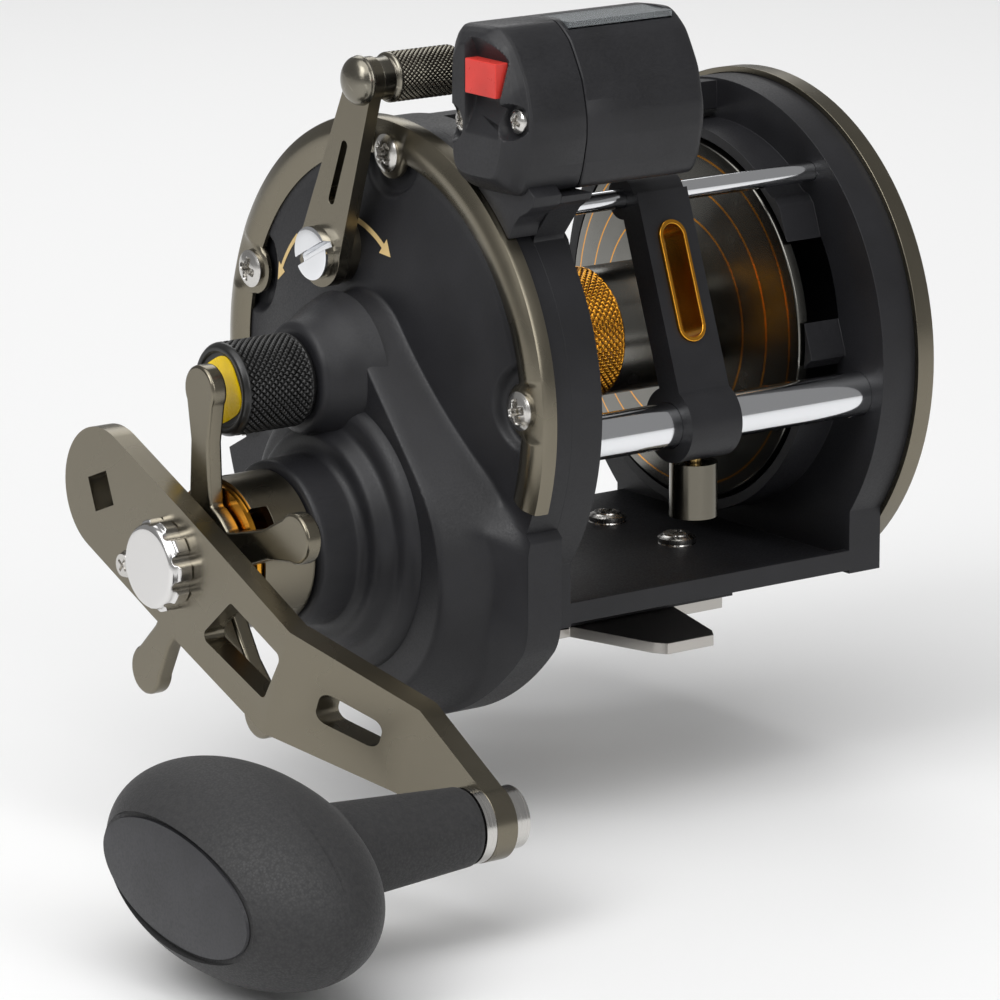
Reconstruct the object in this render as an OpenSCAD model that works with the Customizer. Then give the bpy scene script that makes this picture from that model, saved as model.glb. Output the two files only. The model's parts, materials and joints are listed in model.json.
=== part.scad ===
// Level-wind trolling reel with line counter, right-hand wind.
// Frame: origin at the centre of the foot's bottom face, +Z up,
// X along the spool axis with the handle at -X, line leaves towards -Y.

/* [Frame and side plates] */
// Outer diameter of the side plate rings
ring_d = 92; // [84:1:100]
// Width over the two side plate rings
body_w = 84.8; // [78:0.2:96]
// Height of the side plate centre above the foot's bottom face
axis_h = 47; // [46:0.5:54]
// Radial width of the metal side plate rings
ring_w = 6.4; // [5:0.2:8]
// Thickness of a metal ring
ring_th = 3; // [2:0.1:4]
// Width of the handle-side plate rim behind its ring
rim_w = 3.9; // [3.9:0.1:6]
// Wall of the side plates
wall = 2; // [1.6:0.1:2.4]
// Width of each side of the frame
frame_side_w = 6.4; // [5:0.2:8]
// Thickness of the frame floor
floor_th = 2.4; // [2:0.1:4]
// Height of the frame floor's top above the foot's bottom face
floor_h = 12.5; // [10:0.5:14]

/* [Spool] */
// Rise of the spool axis above the side plate centre
spool_rise = 3.2; // [2:0.1:4]
// Diameter of the spool flanges
flange_d = 64; // [56:1:66]
// Diameter of the spool arbor
arbor_d = 22.8; // [20:0.2:30]
// Width over the spool flanges
spool_w = 49; // [44:0.5:50]
// Sideways offset of the spool centre
spool_shift = 1.4; // [0:0.1:2]
// Thickness of a flange at its rim
flange_th = 1.6; // [1.2:0.1:2.4]
// Diameter of the spool shaft
spindle_d = 4; // [3.5:0.1:4.6]

/* [Drive] */
// Forward offset of the main shaft from the spool axis (negative is forward)
main_dy = -3.7; // [-6:0.1:0]
// Drop of the main shaft below the spool axis
main_drop = 27.2; // [26:0.1:28]
// Teeth on the main gear
main_teeth = 54; // [48:1:58]
// Teeth on the pinion
pinion_teeth = 11; // [10:1:13]
// Width of the main gear
main_gear_w = 4.5; // [3.5:0.1:5]
// Diameter of the main shaft
main_d = 8; // [7:0.1:8.6]
// Reach of the square shaft end across its flats
square_w = 6; // [5:0.1:6]

/* [Handle] */
// Distance from the main shaft to the knob's stud
arm_len = 76.8; // [65:0.2:90]
// Length of the tail behind the main shaft
arm_tail = 21.7; // [18:0.1:26]
// Thickness of the handle arm
arm_th = 4; // [3:0.1:5]
// Sideways step of the arm towards the reel
arm_step = 11.5; // [8:0.5:14]
// Distance from the side plate ring to the outer face of the arm
arm_out = 46.5; // [45:0.5:50]
// Length of the knob along the stud
knob_l = 61; // [52:1:66]
// Long diameter of the knob
knob_w = 59; // [48:1:62]
// Short diameter of the knob
knob_h = 32; // [26:1:36]

/* [Level wind] */
// Forward distance of the worm tube from the plate centre
worm_fwd = 38; // [37:0.1:38.5]
// Drop of the worm tube below the plate centre
worm_drop = 4.9; // [3:0.1:7]
// Outer diameter of the worm tube
tube_d = 7.8; // [7.2:0.1:8.2]
// Diameter of the upper guide bar
bar_d = 3.4; // [3:0.1:4]
// Sideways place of the line guide at rest
guide_shift = -5.6; // [-12:0.1:12]
// Sideways travel of the line guide each way from the spool centre
guide_travel = 21; // [15:0.5:22]

/* [Line counter] */
// Length of the counter along the spool axis
counter_l = 40; // [38:0.5:48]
// Depth of the counter front to back
counter_w = 20.5; // [19:0.5:24]
// Height of the counter
counter_hgt = 28; // [26:0.5:32]

/* [Clearances] */
// Radial running clearance of shafts
run = 0.05; // [0.03:0.01:0.08]
// Gap between parts that move past each other
gap = 0.4; // [0.3:0.05:0.6]
// Backlash cut from each gear tooth
lash = 0.16; // [0.12:0.02:0.2]

/* [Hidden] */
$fn = 64;

// Colours
charcoal = [0.2, 0.2, 0.21];
gunmetal = [0.42, 0.4, 0.35];
gold = [0.85, 0.55, 0.12];
bright = [0.8, 0.8, 0.82];
brass = [0.75, 0.62, 0.35];

// Faces across the reel, from the handle side to the far side
ring_r = ring_d / 2;
rim_r = ring_r - 1.1;
face_r = -body_w / 2;                  // outer face of the handle-side ring
plate_face = face_r + 1;               // outer face of the handle-side plate
plate_in = plate_face + wall;
rim_back = face_r + ring_th + rim_w;   // joint between plate and frame
side_r = rim_back + frame_side_w;      // inner face of the frame's handle side
face_l = body_w / 2;                   // outer face of the far ring
frame_l = face_l - ring_th - 0.5;      // joint between frame and far plate
side_l = frame_l - frame_side_w - 0.6; // inner face of the frame's far side

// Axes in the YZ plane
spool_c = [0, axis_h + spool_rise];
main_c = spool_c + [main_dy, -main_drop];
plate_c = [0, axis_h];
worm_c = [-worm_fwd, axis_h - worm_drop];
bar_c = [-24.5, axis_h + 32];
lever_c = [8, axis_h + 22.3];

// Spool
spool_a = spool_shift - spool_w / 2;
spool_b = spool_shift + spool_w / 2;
frame_bore = flange_d / 2 + 0.8;

// Gear pair
gear_cd = norm(main_c - spool_c);
main_m = 2 * gear_cd / (main_teeth + pinion_teeth);
pair_angle = atan2(spool_c[1] - main_c[1], spool_c[0] - main_c[0]);
gear_a = plate_face - 8.1;             // main gear's outer face
gear_b = gear_a + main_gear_w;
boss_face = plate_face - 14.6;         // outer face of the main gear drum
boss2_face = plate_face - 17.5;
collar_face = plate_face - 26;
tension_face = plate_face - 19;        // outer face of the tension boss
main_r = main_d / 2;
spindle_r = spindle_d / 2;
main_pr = main_m * main_teeth / 2;
cavity_r = main_pr + main_m + 0.6;

// Small train to the worm and the counter
train_m = 0.6;
train_a = plate_in + 1;
train_b = train_a + 1.8;
n_spool_gear = 10;
n_worm_gear = 16;
n_counter = 26;
n_units = 14;
worm_cd = norm(worm_c - spool_c);
n_idler = 2 * ceil((worm_cd / train_m - (n_spool_gear + n_worm_gear) / 2 + 0.5) / 2);
idler_cd1 = train_m * (n_spool_gear + n_idler) / 2;
idler_cd2 = train_m * (n_worm_gear + n_idler) / 2;
idler_c = meet(spool_c, idler_cd1, worm_c, idler_cd2);
counter_c = [-32.2, axis_h + 51.5];    // axis of the digit wheels
cg_cd1 = train_m * (n_idler + n_counter) / 2;
cg_cd2 = train_m * n_counter;
cg_cd3 = train_m * (n_counter + n_units) / 2;
cg_dir = idler_c - counter_c;
upper_c = counter_c + cg_cd3 * cg_dir / norm(cg_dir);
lower_c = meet(idler_c, cg_cd1, upper_c, cg_cd2);

// Counter box
cnt_a = face_r - 3;
cnt_b = cnt_a + counter_l;
cnt_front = counter_c[0] - counter_w / 2;
cnt_low = counter_c[1] - counter_hgt / 2 + 0.5;
cnt_top = cnt_low + counter_hgt;
cnt_cap = 15;                          // length of the counter's cap
cnt_wall = 1.4;

// Handle
arm_angle = -156.6;                    // direction of the arm from the main shaft
arm_dir = [cos(arm_angle), sin(arm_angle)];
arm_side = [-sin(arm_angle), cos(arm_angle)];
arm_face = face_r - arm_out;
arm_back = arm_face + arm_th;
stud_c = main_c + arm_len * arm_dir;
stud_face = arm_face + arm_step;
bend_a = 34.5;
bend_b = 57;
star_back = face_r - 37;
star_th = 3;
star_face = star_back - star_th;
sleeve_r = 13;
knob_tilt = 8;
stud_pin_r = 2.55;

// Intersection of two circles, on the upper side of the line from a to b
function meet(a, ra, b, rb) =
    let (d = norm(b - a), x = (d * d + ra * ra - rb * rb) / (2 * d),
        h = sqrt(max(0, ra * ra - x * x)), u = (b - a) / d)
    a + x * u + h * [u[1], -u[0]];

// Rotation of a driven gear that puts a gap on the driver's tooth
function mesh(angle, driver_phase, nd, n) =
    angle + 180 + 180 / n - (driver_phase - angle) * nd / n;

// Solids along the X axis
module along(a, b) {
    translate([a, 0, 0]) rotate([90, 0, 90]) linear_extrude(b - a) children();
}
module disc(a, b, r, c) {
    translate([a, c[0], c[1]]) rotate([0, 90, 0]) cylinder(h = b - a, r = r);
}
module cone(a, b, ra, rb, c) {
    translate([a, c[0], c[1]]) rotate([0, 90, 0]) cylinder(h = b - a, r1 = ra, r2 = rb);
}
module tube(a, b, r, ri, c) {
    difference() {
        disc(a, b, r, c);
        disc(a - 1, b + 1, ri, c);
    }
}
module at(c) { translate(c) children(); }
module dot(c, r) { translate(c) circle(r = r); }

// Involute spur gear outline, phase gives the angle of one tooth's centre
function inv(rb, r) = let (t = sqrt(max(0, r * r / (rb * rb) - 1))) t * 180 / PI - atan(t);
module gear_2d(m, n, phase = 0, steps = 3) {
    pr = m * n / 2;
    rb = pr * cos(25);
    ro = pr + 0.85 * m;
    rr = pr - 1.1 * m;
    half = 90 / n - lash / 2 / pr * 180 / PI + inv(rb, pr);
    r0 = max(rb, rr);
    flank = [for (i = [0 : steps]) let (r = r0 + (ro - r0) * i / steps) [r, half - inv(rb, r)]];
    tooth = concat([[rr, half]], flank, [for (i = [steps : -1 : 0]) [flank[i][0], -flank[i][1]]],
        [[rr, -half]]);
    polygon([for (k = [0 : n - 1], p = tooth)
        let (a = phase + k * 360 / n - p[1]) p[0] * [cos(a), sin(a)]]);
}
module gear(a, b, m, n, c, phase, bore) {
    difference() {
        along(a, b) at(c) gear_2d(m, n, phase);
        disc(a - 1, b + 1, bore, c);
    }
}

// Side plate outline with the deep lower housing
module lower_2d(inset = 0) {
    intersection() {
        dot(plate_c + [-2.1, -6.4], ring_r + 4.8 - inset);
        translate([-ring_r + 3.8 + inset, -30]) square([ring_r + 32 - 2 * inset, axis_h + 10.4 - inset]);
    }
}
module plate_2d(inset = 0) {
    dot(plate_c, rim_r - inset);
    lower_2d(inset);
}

// Front edge of the deep housing, from the tension boss down to the front rim
module below_ring_2d(drop = 0) {
    translate([0, -drop]) polygon([plate_c + [12, 3], plate_c + [-10, -3], plate_c + [-23, -10.5],
        plate_c + [-36, -14.6], plate_c + [-60, -20], plate_c + [-60, -70],
        plate_c + [60, -70], plate_c + [30, -20]]);
}
// Sloping shoulder between the two boss axes, at three heights
module shoulder_2d(boss, drum) {
    hull() {
        dot(spool_c, boss);
        dot(main_c, drum);
    }
}

// Right side plate: thin upper plate, deep gear housing, tension boss and shaft collar
module housing_outside() {
    along(plate_face, rim_back) plate_2d();
    along(plate_face - 5, plate_face + 1) intersection() {
        plate_2d(0.8);
        union() {
            shoulder_2d(14, cavity_r + wall + 4);
            below_ring_2d();
        }
    }
    along(plate_face - 10, plate_face - 4) intersection() {
        plate_2d(3);
        union() {
            shoulder_2d(13, cavity_r + wall);
            at([0, -4]) intersection() {
                below_ring_2d(3);
                dot(main_c + [-5, -2], cavity_r + 8);
            }
        }
    }
    along(boss_face, plate_face - 9) {
        dot(main_c, cavity_r - 2);
        dot(main_c + [-4.5, -2.5], cavity_r - 3);
        dot(spool_c, 12);
    }
    disc(boss2_face, boss_face + 1, 18.6, main_c);
    disc(collar_face, boss2_face + 1, 14.5, main_c);
    disc(tension_face + 4, boss_face + 1, 11, spool_c);
    disc(tension_face, tension_face + 5, 9.2, spool_c);
    disc(tension_face - 5, tension_face + 1, 6.2, spool_c);
    along(plate_in, rim_back) neck_2d();
    difference() {
        union() {
            along(plate_face, plate_in) neck_2d();
            along(plate_in - lug_th, plate_in) hull() {
                dot(upper_c, 4);
                dot(upper_c - [0, 5], 3);
            }
        }
        disc(plate_face - 1, plate_in + 1, ring_r + 0.05, plate_c);
    }
}
lug_th = 1.4;
// Neck that rises from the side plate's rim to the counter
module neck_2d() {
    polygon([[-22, axis_h + 36], [-22, cnt_low], [-42, cnt_low], [-41.4, cnt_low - 1.2],
        [-38.6, axis_h + 35], [-34.5, axis_h + 30], [-33.6, axis_h + 27], [-26, axis_h + 30]]);
}
module housing_inside() {
    gear_room = gear_a - 1;
    disc(gear_room, plate_in + 0.1, cavity_r, main_c);
    disc(gear_room - 3.6, gear_room + 1, 16, main_c);
    disc(gear_room - 5, gear_room, 6.6, main_c);
    disc(collar_face - 1, gear_room, 9.6, main_c);
    along(gear_room - 4.4, plate_in + 0.1) hull() {
        dot(spool_c, 8.8);
        dot(main_c + 15 * (spool_c - main_c) / gear_cd, 8.8);
    }
    disc(tension_face + 2.6, gear_room, 6.4, spool_c);
    disc(tension_face - 6, gear_room, spindle_r + 0.4, spool_c);
    along(plate_in, rim_back + 1) {
        dot(plate_c, rim_r - 1.2);
        lower_2d(1.4);
    }
    for (c = [lower_c, upper_c]) disc(plate_in, rim_back + 1, train_m * n_counter / 2 + 1.2, c);
    disc(plate_face - 1, plate_in + 1, 3.05, lever_c);
}
module ring_screw_places(list, r = ring_r - 5.6) {
    for (a = list) at(plate_c + r * [cos(a), sin(a)]) children();
}
right_screw_angles = [94, 20, 176.5];
post_r = 2.1;
stud_r = 1.5;
left_screw_angles = [45, 135, 225, 315];
module right_side_plate() {
    color(charcoal) difference() {
        union() {
            difference() {
                housing_outside();
                housing_inside();
            }
            along(plate_face + 1, rim_back) ring_screw_places(right_screw_angles) circle(r = post_r);
        }
        along(plate_face - 1, plate_face + 1) ring_screw_places(right_screw_angles) circle(r = 4.6);
        along(plate_face, rim_back + 1) ring_screw_places(right_screw_angles) circle(r = 1.25);
    }
    color(charcoal) for (c = [idler_c, lower_c, upper_c])
        disc(plate_in - lug_th / 2, train_b + 0.3, stud_r, c);
}

// C-shaped metal ring on the handle side
module ring_2d(from, to, lobes) {
    difference() {
        union() {
            intersection() {
                difference() {
                    dot(plate_c, ring_r);
                    dot(plate_c, ring_r - ring_w);
                }
                sector(from, to);
            }
            ring_screw_places(lobes) circle(r = 4.4);
        }
        ring_screw_places(lobes) circle(r = 1.6);
    }
}
module sector(from, to) {
    far = ring_r * 3;
    n = ceil((to - from) / 30);
    at(plate_c) polygon(concat([[0, 0]], [for (i = [0 : n])
        let (a = from + (to - from) * i / n) far * [cos(a), sin(a)]]));
}
module right_plate_ring() {
    color(gunmetal) {
        along(face_r, plate_face) ring_2d(-22, 199, right_screw_angles);
        along(plate_face, face_r + ring_th) intersection() {
            difference() {
                dot(plate_c, ring_r);
                dot(plate_c, rim_r + 0.05);
            }
            sector(-22, 199);
        }
    }
}
module left_plate_ring() {
    color(gunmetal) {
        along(face_l - 1, face_l) ring_2d(0, 360, left_screw_angles);
        along(frame_l, face_l - 1) difference() {
            dot(plate_c, ring_r);
            dot(plate_c, rim_r + 0.05);
        }
    }
}
module pan_screw(head_face, dir, shank, r, head_r, c) {
    tip = head_face + dir * shank;
    seat = head_face + dir * head_r * 0.45;
    difference() {
        union() {
            cone(min(head_face, seat), max(head_face, seat), dir > 0 ? head_r * 0.8 : head_r,
                dir > 0 ? head_r : head_r * 0.8, c);
            disc(min(head_face + dir * 0.3, tip), max(head_face + dir * 0.3, tip), r, c);
        }
        for (a = [35, 125]) translate([head_face, c[0], c[1]]) rotate([a, 0, 0])
            cube([head_r * 0.4, head_r * 1.1, head_r * 0.22], center = true);
    }
}
module ring_screws() {
    color(bright) {
        for (a = right_screw_angles)
            pan_screw(face_r - 1.5, 1, 7, 1.2, 3.3, plate_c + (ring_r - 5.6) * [cos(a), sin(a)]);
        for (a = left_screw_angles)
            pan_screw(face_l + 1.5, -1, 6, 1.2, 3.3, plate_c + (ring_r - 5.6) * [cos(a), sin(a)]);
    }
}

// Bridge plate that closes the gear room and carries the inner ends of both shafts
bridge_a = plate_in - 1.8;
bridge_b = plate_in;
dog_c = main_c + [-15.5, 3];
module bridge_plate() {
    color(bright) difference() {
        along(bridge_a, bridge_b) difference() {
            intersection() {
                union() {
                    dot(main_c, cavity_r - 0.3);
                    hull() {
                        dot(spool_c, 8.5);
                        dot(main_c, 8.5);
                    }
                }
                plate_2d(2);
            }
            dot(spool_c, 5.02);
            dot(main_c, 3 + run);
            dot(dog_c, 1.5);
        }
    }
}
module spool_bearings() {
    color(bright) {
        tube(bridge_a, bridge_b + 0.4, 5, spindle_r + run, spool_c);
        tube(frame_l + 0.2, frame_l + 2.7, 5, spindle_r + run, spool_c);
    }
}
module roller_clutch() {
    color(bright) tube(collar_face + 1, gear_a - 6.2, 9.55, 6 + run, main_c);
}

// Frame: two open sides, floor, top and rear bars, rod seat pedestal and counter neck
module side_2d() {
    difference() {
        union() {
            dot(plate_c, rim_r);
            translate([-36.4, floor_h - floor_th - 0.6]) square([66, 16]);
        }
        dot(spool_c, frame_bore);
    }
}
module frame_bar_2d(from, to) {
    intersection() {
        difference() {
            dot(plate_c, rim_r - 0.4);
            dot(plate_c, rim_r - 5.4);
        }
        sector(from, to);
    }
}
foot_x = 14.5;
foot_y = 10;
module frame() {
    color(charcoal) difference() {
        union() {
            along(rim_back, side_r) side_2d();
            along(side_l, frame_l) side_2d();
            tube(side_r - 1, spool_a + flange_th, frame_bore + 1.8, frame_bore, spool_c);
            tube(spool_b - flange_th, side_l + 1, frame_bore + 1.8, frame_bore, spool_c);
            along(rim_back + 1, frame_l - 1) {
                frame_bar_2d(62, 88);
                frame_bar_2d(-26, -6);
                translate([-36.4, floor_h - floor_th]) square([64, floor_th]);
                translate([-36.4, floor_h - floor_th]) square([1.6, floor_th + 1.2]);
            }
            translate([-24, -14, 2.2]) cube([48, 28, floor_h - 2.2]);
            along(rim_back, side_r) neck_2d();
        }
        disc(rim_back - 1, side_r + 1, tube_d / 2 + 0.02, worm_c);
        disc(side_l - 1, frame_l + 1, tube_d / 2 + 0.02, worm_c);
        disc(side_r - 4, side_r + 1, bar_d / 2 + 0.02, bar_c);
        disc(side_l - 1, side_l + 4, bar_d / 2 + 0.02, bar_c);
        for (x = [-foot_x, foot_x], y = [-foot_y, foot_y])
            translate([x, y, 0]) cylinder(h = 30, r = 1.8);
        along(frame_l - 1.5, frame_l + 1) ring_screw_places(left_screw_angles) circle(r = 1.25);
        along(side_r, side_l) guide_2d(gap);
    }
}
module reel_foot() {
    color(bright) difference() {
        linear_extrude(2.2) hull() {
            for (s = [-1, 1]) translate([s * 20.5, 0]) square([4, 26], center = true);
        }
        for (x = [-foot_x, foot_x], y = [-foot_y, foot_y])
            translate([x, y, -1]) cylinder(h = 5, r = 1.7);
    }
    color(bright) for (s = [0, 180]) rotate([0, 0, s])
        linear_extrude(2) polygon([[-11.5, -12.9], [-6.6, -30], [-5, -32.4], [5, -32.4], [6.6, -30],
            [11.5, -12.9]]);
}
module foot_screws() {
    color(bright) for (x = [-foot_x, foot_x], y = [-foot_y, foot_y]) translate([x, y, 0]) {
        difference() {
            union() {
                translate([0, 0, floor_h]) cylinder(h = 1.8, r1 = 3.4, r2 = 2.4);
                translate([0, 0, 0.3]) cylinder(h = floor_h, r = 1.65);
            }
            for (a = [20, 110]) translate([0, 0, floor_h + 1.8]) rotate([0, 0, a])
                cube([3.6, 0.8, 1.4], center = true);
        }
    }
}

// Far side plate
module left_side_plate() {
    color(charcoal) difference() {
        union() {
            along(frame_l, face_l - 1) dot(plate_c, rim_r);
            disc(face_l - 1.5, face_l + 1.2, 9, spool_c);
            along(face_l - 1.2, face_l) dot(plate_c, ring_r - ring_w - 3.8);
        }
        disc(frame_l - 1, frame_l + 2.8, 5.02, spool_c);
        disc(frame_l + 2, frame_l + 3.6, spindle_r + 0.4, spool_c);
        along(frame_l - 1, frame_l + 1.4) difference() {
            dot(plate_c, rim_r - 3);
            dot(spool_c, 7);
        }
        for (a = left_screw_angles)
            disc(frame_l - 1, face_l + 1, 1.25, plate_c + (ring_r - 5.6) * [cos(a), sin(a)]);
        translate([frame_l - 1, click_c[0] - 2.1, click_c[1] - 4.1]) cube([8, 4.2, 8.2 + click_travel]);
    }
}
click_c = [0, axis_h - 18];
click_travel = 4;
module click_button() {
    color(charcoal) {
        disc(face_l + 0.15, face_l + 3, 3.6, click_c);
        translate([frame_l + 1.5, click_c[0] - 1.9, click_c[1] - 2]) cube([face_l - frame_l - 1.2, 3.8, 4]);
    }
    color(bright) translate([frame_l + 0.3, click_c[0] - 1.5, click_c[1] - 2]) cube([1.3, 3, 4.6]);
}

// Upper guide bar, worm tube and its end bushes
module guide_bar() {
    color(bright) disc(side_r - 3.9, side_l + 3.9, bar_d / 2, bar_c);
}
module worm_tube() {
    color(bright) difference() {
        tube(rim_back + 0.2, frame_l - 0.2, tube_d / 2, tube_d / 2 - 0.7, worm_c);
        translate([spool_shift - guide_travel - 7, worm_c[0] - 1.6, worm_c[1] - tube_d])
            cube([2 * guide_travel + 14, 3.2, tube_d]);
    }
}
module worm_bushings() {
    color(brass) for (x = [rim_back + 0.4, frame_l - 3.4])
        tube(x, x + 3, tube_d / 2 - 0.72, 1.5 + run, worm_c);
}
worm_r = tube_d / 2 - 1.05;
module worm_shaft() {
    color(bright) {
        disc(train_a - 0.6, frame_l - 0.3, 1.5, worm_c);
        difference() {
            disc(rim_back + 3.8, frame_l - 3.8, worm_r, worm_c);
            for (x = [spool_shift - guide_travel - 1 : 3.5 : spool_shift + guide_travel + 2])
                tube(x, x + 1, worm_r + 1, worm_r - 0.7, worm_c);
        }
    }
}

// Line guide that rides on the tube and the bar
guide_x = spool_shift + guide_shift;
guide_hw = 5.4;
guide_dir = (worm_c - bar_c) / norm(worm_c - bar_c);
guide_len = norm(worm_c - bar_c);
guide_deg = atan2(guide_dir[1], guide_dir[0]);
module guide_frame() {
    translate([guide_x, bar_c[0], bar_c[1]]) rotate([guide_deg, 0, 0]) children();
}
module eye_slot(w, from, to, front, back) {
    guide_frame() translate([0, 0, front]) linear_extrude(back - front) hull() {
        translate([0, from + w / 2]) circle(d = w);
        translate([0, to - w / 2]) circle(d = w);
    }
}
// Side view of the line guide, its upright stands just in front of the spool flanges
module guide_2d(grow = 0) {
    dot(bar_c, bar_d / 2 + 1.9 + grow);
    dot(worm_c, tube_d / 2 + 2.6 + grow);
    at(bar_c) rotate(guide_deg) translate([0, -4.6 - grow]) square([guide_len, 5.1 + 2 * grow]);
}
module line_guide() {
    color(charcoal) difference() {
        along(guide_x - guide_hw, guide_x + guide_hw) guide_2d();
        disc(guide_x - 9, guide_x + 9, bar_d / 2 + run, bar_c);
        disc(guide_x - 9, guide_x + 9, tube_d / 2 + run, worm_c);
        eye_slot(5.8, 5.2, 26.4, -8, 4);
        translate([guide_x, worm_c[0], worm_c[1] - tube_d - 4]) cylinder(h = tube_d + 3, r = 2.1);
    }
}
module guide_eye() {
    color(gold) difference() {
        eye_slot(5.8, 5.2, 26.4, -5.2, 0.55);
        eye_slot(4.2, 6, 25.6, -8, 4);
    }
}
pawl_top = worm_c[1] - worm_r - 0.25;
pawl_low = worm_c[1] - tube_d / 2 - 2.9;
module pawl() {
    color(brass) translate([guide_x, worm_c[0], 0]) {
        translate([0, 0, pawl_low - 3]) cylinder(h = pawl_top - 0.6 - pawl_low + 3, r = 1.3);
        translate([0, 0, pawl_low - 2.6]) cylinder(h = 1.4, r = 2);
    }
}
module pawl_cap() {
    color(gunmetal) translate([guide_x, worm_c[0], 0]) difference() {
        translate([0, 0, pawl_low - 9.6]) cylinder(h = 9.4, r = 4.1);
        translate([0, 0, pawl_low - 3.2]) cylinder(h = 4, r = 2.1);
    }
}

// Spool with its shaft, gold arbor band, drive gear and click wheel
module ring_solid(points) {
    translate([0, spool_c[0], spool_c[1]]) rotate([0, 90, 0]) rotate_extrude() polygon(points);
}
flange_r = flange_d / 2;
arbor_r = arbor_d / 2;
module spool() {
    color([0.16, 0.15, 0.14]) difference() {
        ring_solid([[spindle_r, spool_a - 3.4], [5.5, spool_a - 3.4], [5.5, spool_a + 1],
            [flange_r - 2, spool_a + 1], [flange_r - 2, spool_a], [flange_r, spool_a],
            [flange_r, spool_a + flange_th], [arbor_r + 1, spool_a + 6], [arbor_r, spool_a + 7],
            [arbor_r, spool_b - 7], [arbor_r + 1, spool_b - 6], [flange_r, spool_b - flange_th],
            [flange_r, spool_b], [flange_r - 2, spool_b], [flange_r - 2, spool_b - 1],
            [5.5, spool_b - 1], [5.5, spool_b + 3.4], [spindle_r, spool_b + 3.4]]);
        ring_solid([[arbor_r - 1, spool_shift - 15], [arbor_r + 1, spool_shift - 15],
            [arbor_r + 1, spool_shift + 0.4], [arbor_r - 1, spool_shift + 0.4]]);
    }
}
module spool_band() {
    color(gold) tube(spool_shift - 15, spool_shift + 0.4, arbor_r + 0.25, arbor_r - 1, spool_c);
}
module spool_shaft() {
    pin_x = gear_a + 6.6;
    color(bright) {
        disc(tension_face - 9, frame_l + 3.2, spindle_r, spool_c);
        translate([pin_x, spool_c[0], spool_c[1] - 3.4]) cylinder(h = 6.8, r = 0.9);
    }
}
spool_phase = 0;
module spool_gear() {
    color(brass) gear(train_a, train_b, train_m, n_spool_gear, spool_c, spool_phase, spindle_r);
}
module click_wheel() {
    color(bright) difference() {
        along(spool_b + 3.5, spool_b + 5) at(spool_c)
            polygon([for (i = [0 : 23]) let (r = i % 2 == 0 ? 9 : 7.8) r * [cos(i * 15), sin(i * 15)]]);
        disc(spool_b, spool_b + 9, spindle_r, spool_c);
    }
}

// Main gear, pinion and the small train
module main_gear() {
    color(brass) difference() {
        gear(gear_a, gear_b, main_m, main_teeth, main_c, pair_angle, main_r + run);
        disc(gear_a - 1, gear_a + 1.8, 15, main_c);
    }
}
pinion_phase = pair_angle + 180 + 180 / pinion_teeth;
module pinion() {
    end = gear_a + 7.4;
    color(brass) difference() {
        union() {
            along(gear_a - 0.4, end) at(spool_c) gear_2d(main_m, pinion_teeth, pinion_phase);
            disc(gear_a - 4.2, gear_a - 0.3, 3.6, spool_c);
            disc(gear_a - 4.2, gear_a - 3.2, 5, spool_c);
            disc(gear_a - 1.4, gear_a - 0.3, 5, spool_c);
        }
        disc(gear_a - 5, end + 1, spindle_r + run, spool_c);
        translate([end - 2.1, spool_c[0] - 1.05, spool_c[1] - 8]) cube([4, 2.1, 16]);
    }
}
yoke_a = gear_a - 3.1;
yoke_b = gear_a - 1.5;
module yoke() {
    color(bright) difference() {
        along(yoke_a, yoke_b) at(spool_c) difference() {
            union() {
                circle(r = 6);
                translate([-7.7, -2]) square([15.4, 4]);
            }
            circle(r = 3.8);
            translate([-3.8, -9]) square([7.6, 9]);
            for (y = [-6.6, 6.6]) translate([y, 0]) circle(r = 0.75);
        }
    }
}
module yoke_springs() {
    color(bright) for (y = [-6.6, 6.6])
        disc(gear_a - 5.4, bridge_a, 0.7, spool_c + [y, 0]);
}
idler_angle = atan2(idler_c[1] - spool_c[1], idler_c[0] - spool_c[0]);
idler_phase = mesh(idler_angle, spool_phase, n_spool_gear, n_idler);
worm_angle = atan2(worm_c[1] - idler_c[1], worm_c[0] - idler_c[0]);
lower_angle = atan2(lower_c[1] - idler_c[1], lower_c[0] - idler_c[0]);
upper_angle = atan2(upper_c[1] - lower_c[1], upper_c[0] - lower_c[0]);
units_angle = atan2(counter_c[1] - upper_c[1], counter_c[0] - upper_c[0]);
lower_phase = mesh(lower_angle, idler_phase, n_idler, n_counter);
upper_phase = mesh(upper_angle, lower_phase, n_counter, n_counter);
module idler_gear() {
    color([0.9, 0.9, 0.88]) gear(train_a, train_b, train_m, n_idler, idler_c, idler_phase, 1.55);
}
module worm_gear() {
    color(brass) gear(train_a, train_b, train_m, n_worm_gear, worm_c,
        mesh(worm_angle, idler_phase, n_idler, n_worm_gear), 1.5);
}
module counter_gear_lower() {
    color([0.9, 0.9, 0.88]) gear(train_a, train_b, train_m, n_counter, lower_c, lower_phase, 1.55);
}
module counter_gear_upper() {
    color([0.9, 0.9, 0.88]) gear(train_a, train_b, train_m, n_counter, upper_c, upper_phase, 1.55);
}
wheel_r = 7.6;
wheel_w = 5.6;
wheel_a = cnt_b - 24.6;
window_a = wheel_a + 0.6;
window_b = cnt_b - 2.2;
window_w = 8;
module digit_wheel(i) {
    a = wheel_a + i * (wheel_w + 0.5);
    color([0.93, 0.93, 0.9]) difference() {
        disc(a, a + wheel_w, wheel_r, counter_c);
        disc(a - 1, a + wheel_w + 1, 1.3, counter_c);
    }
}
module hundreds_wheel() digit_wheel(2);
module tens_wheel() digit_wheel(1);
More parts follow.
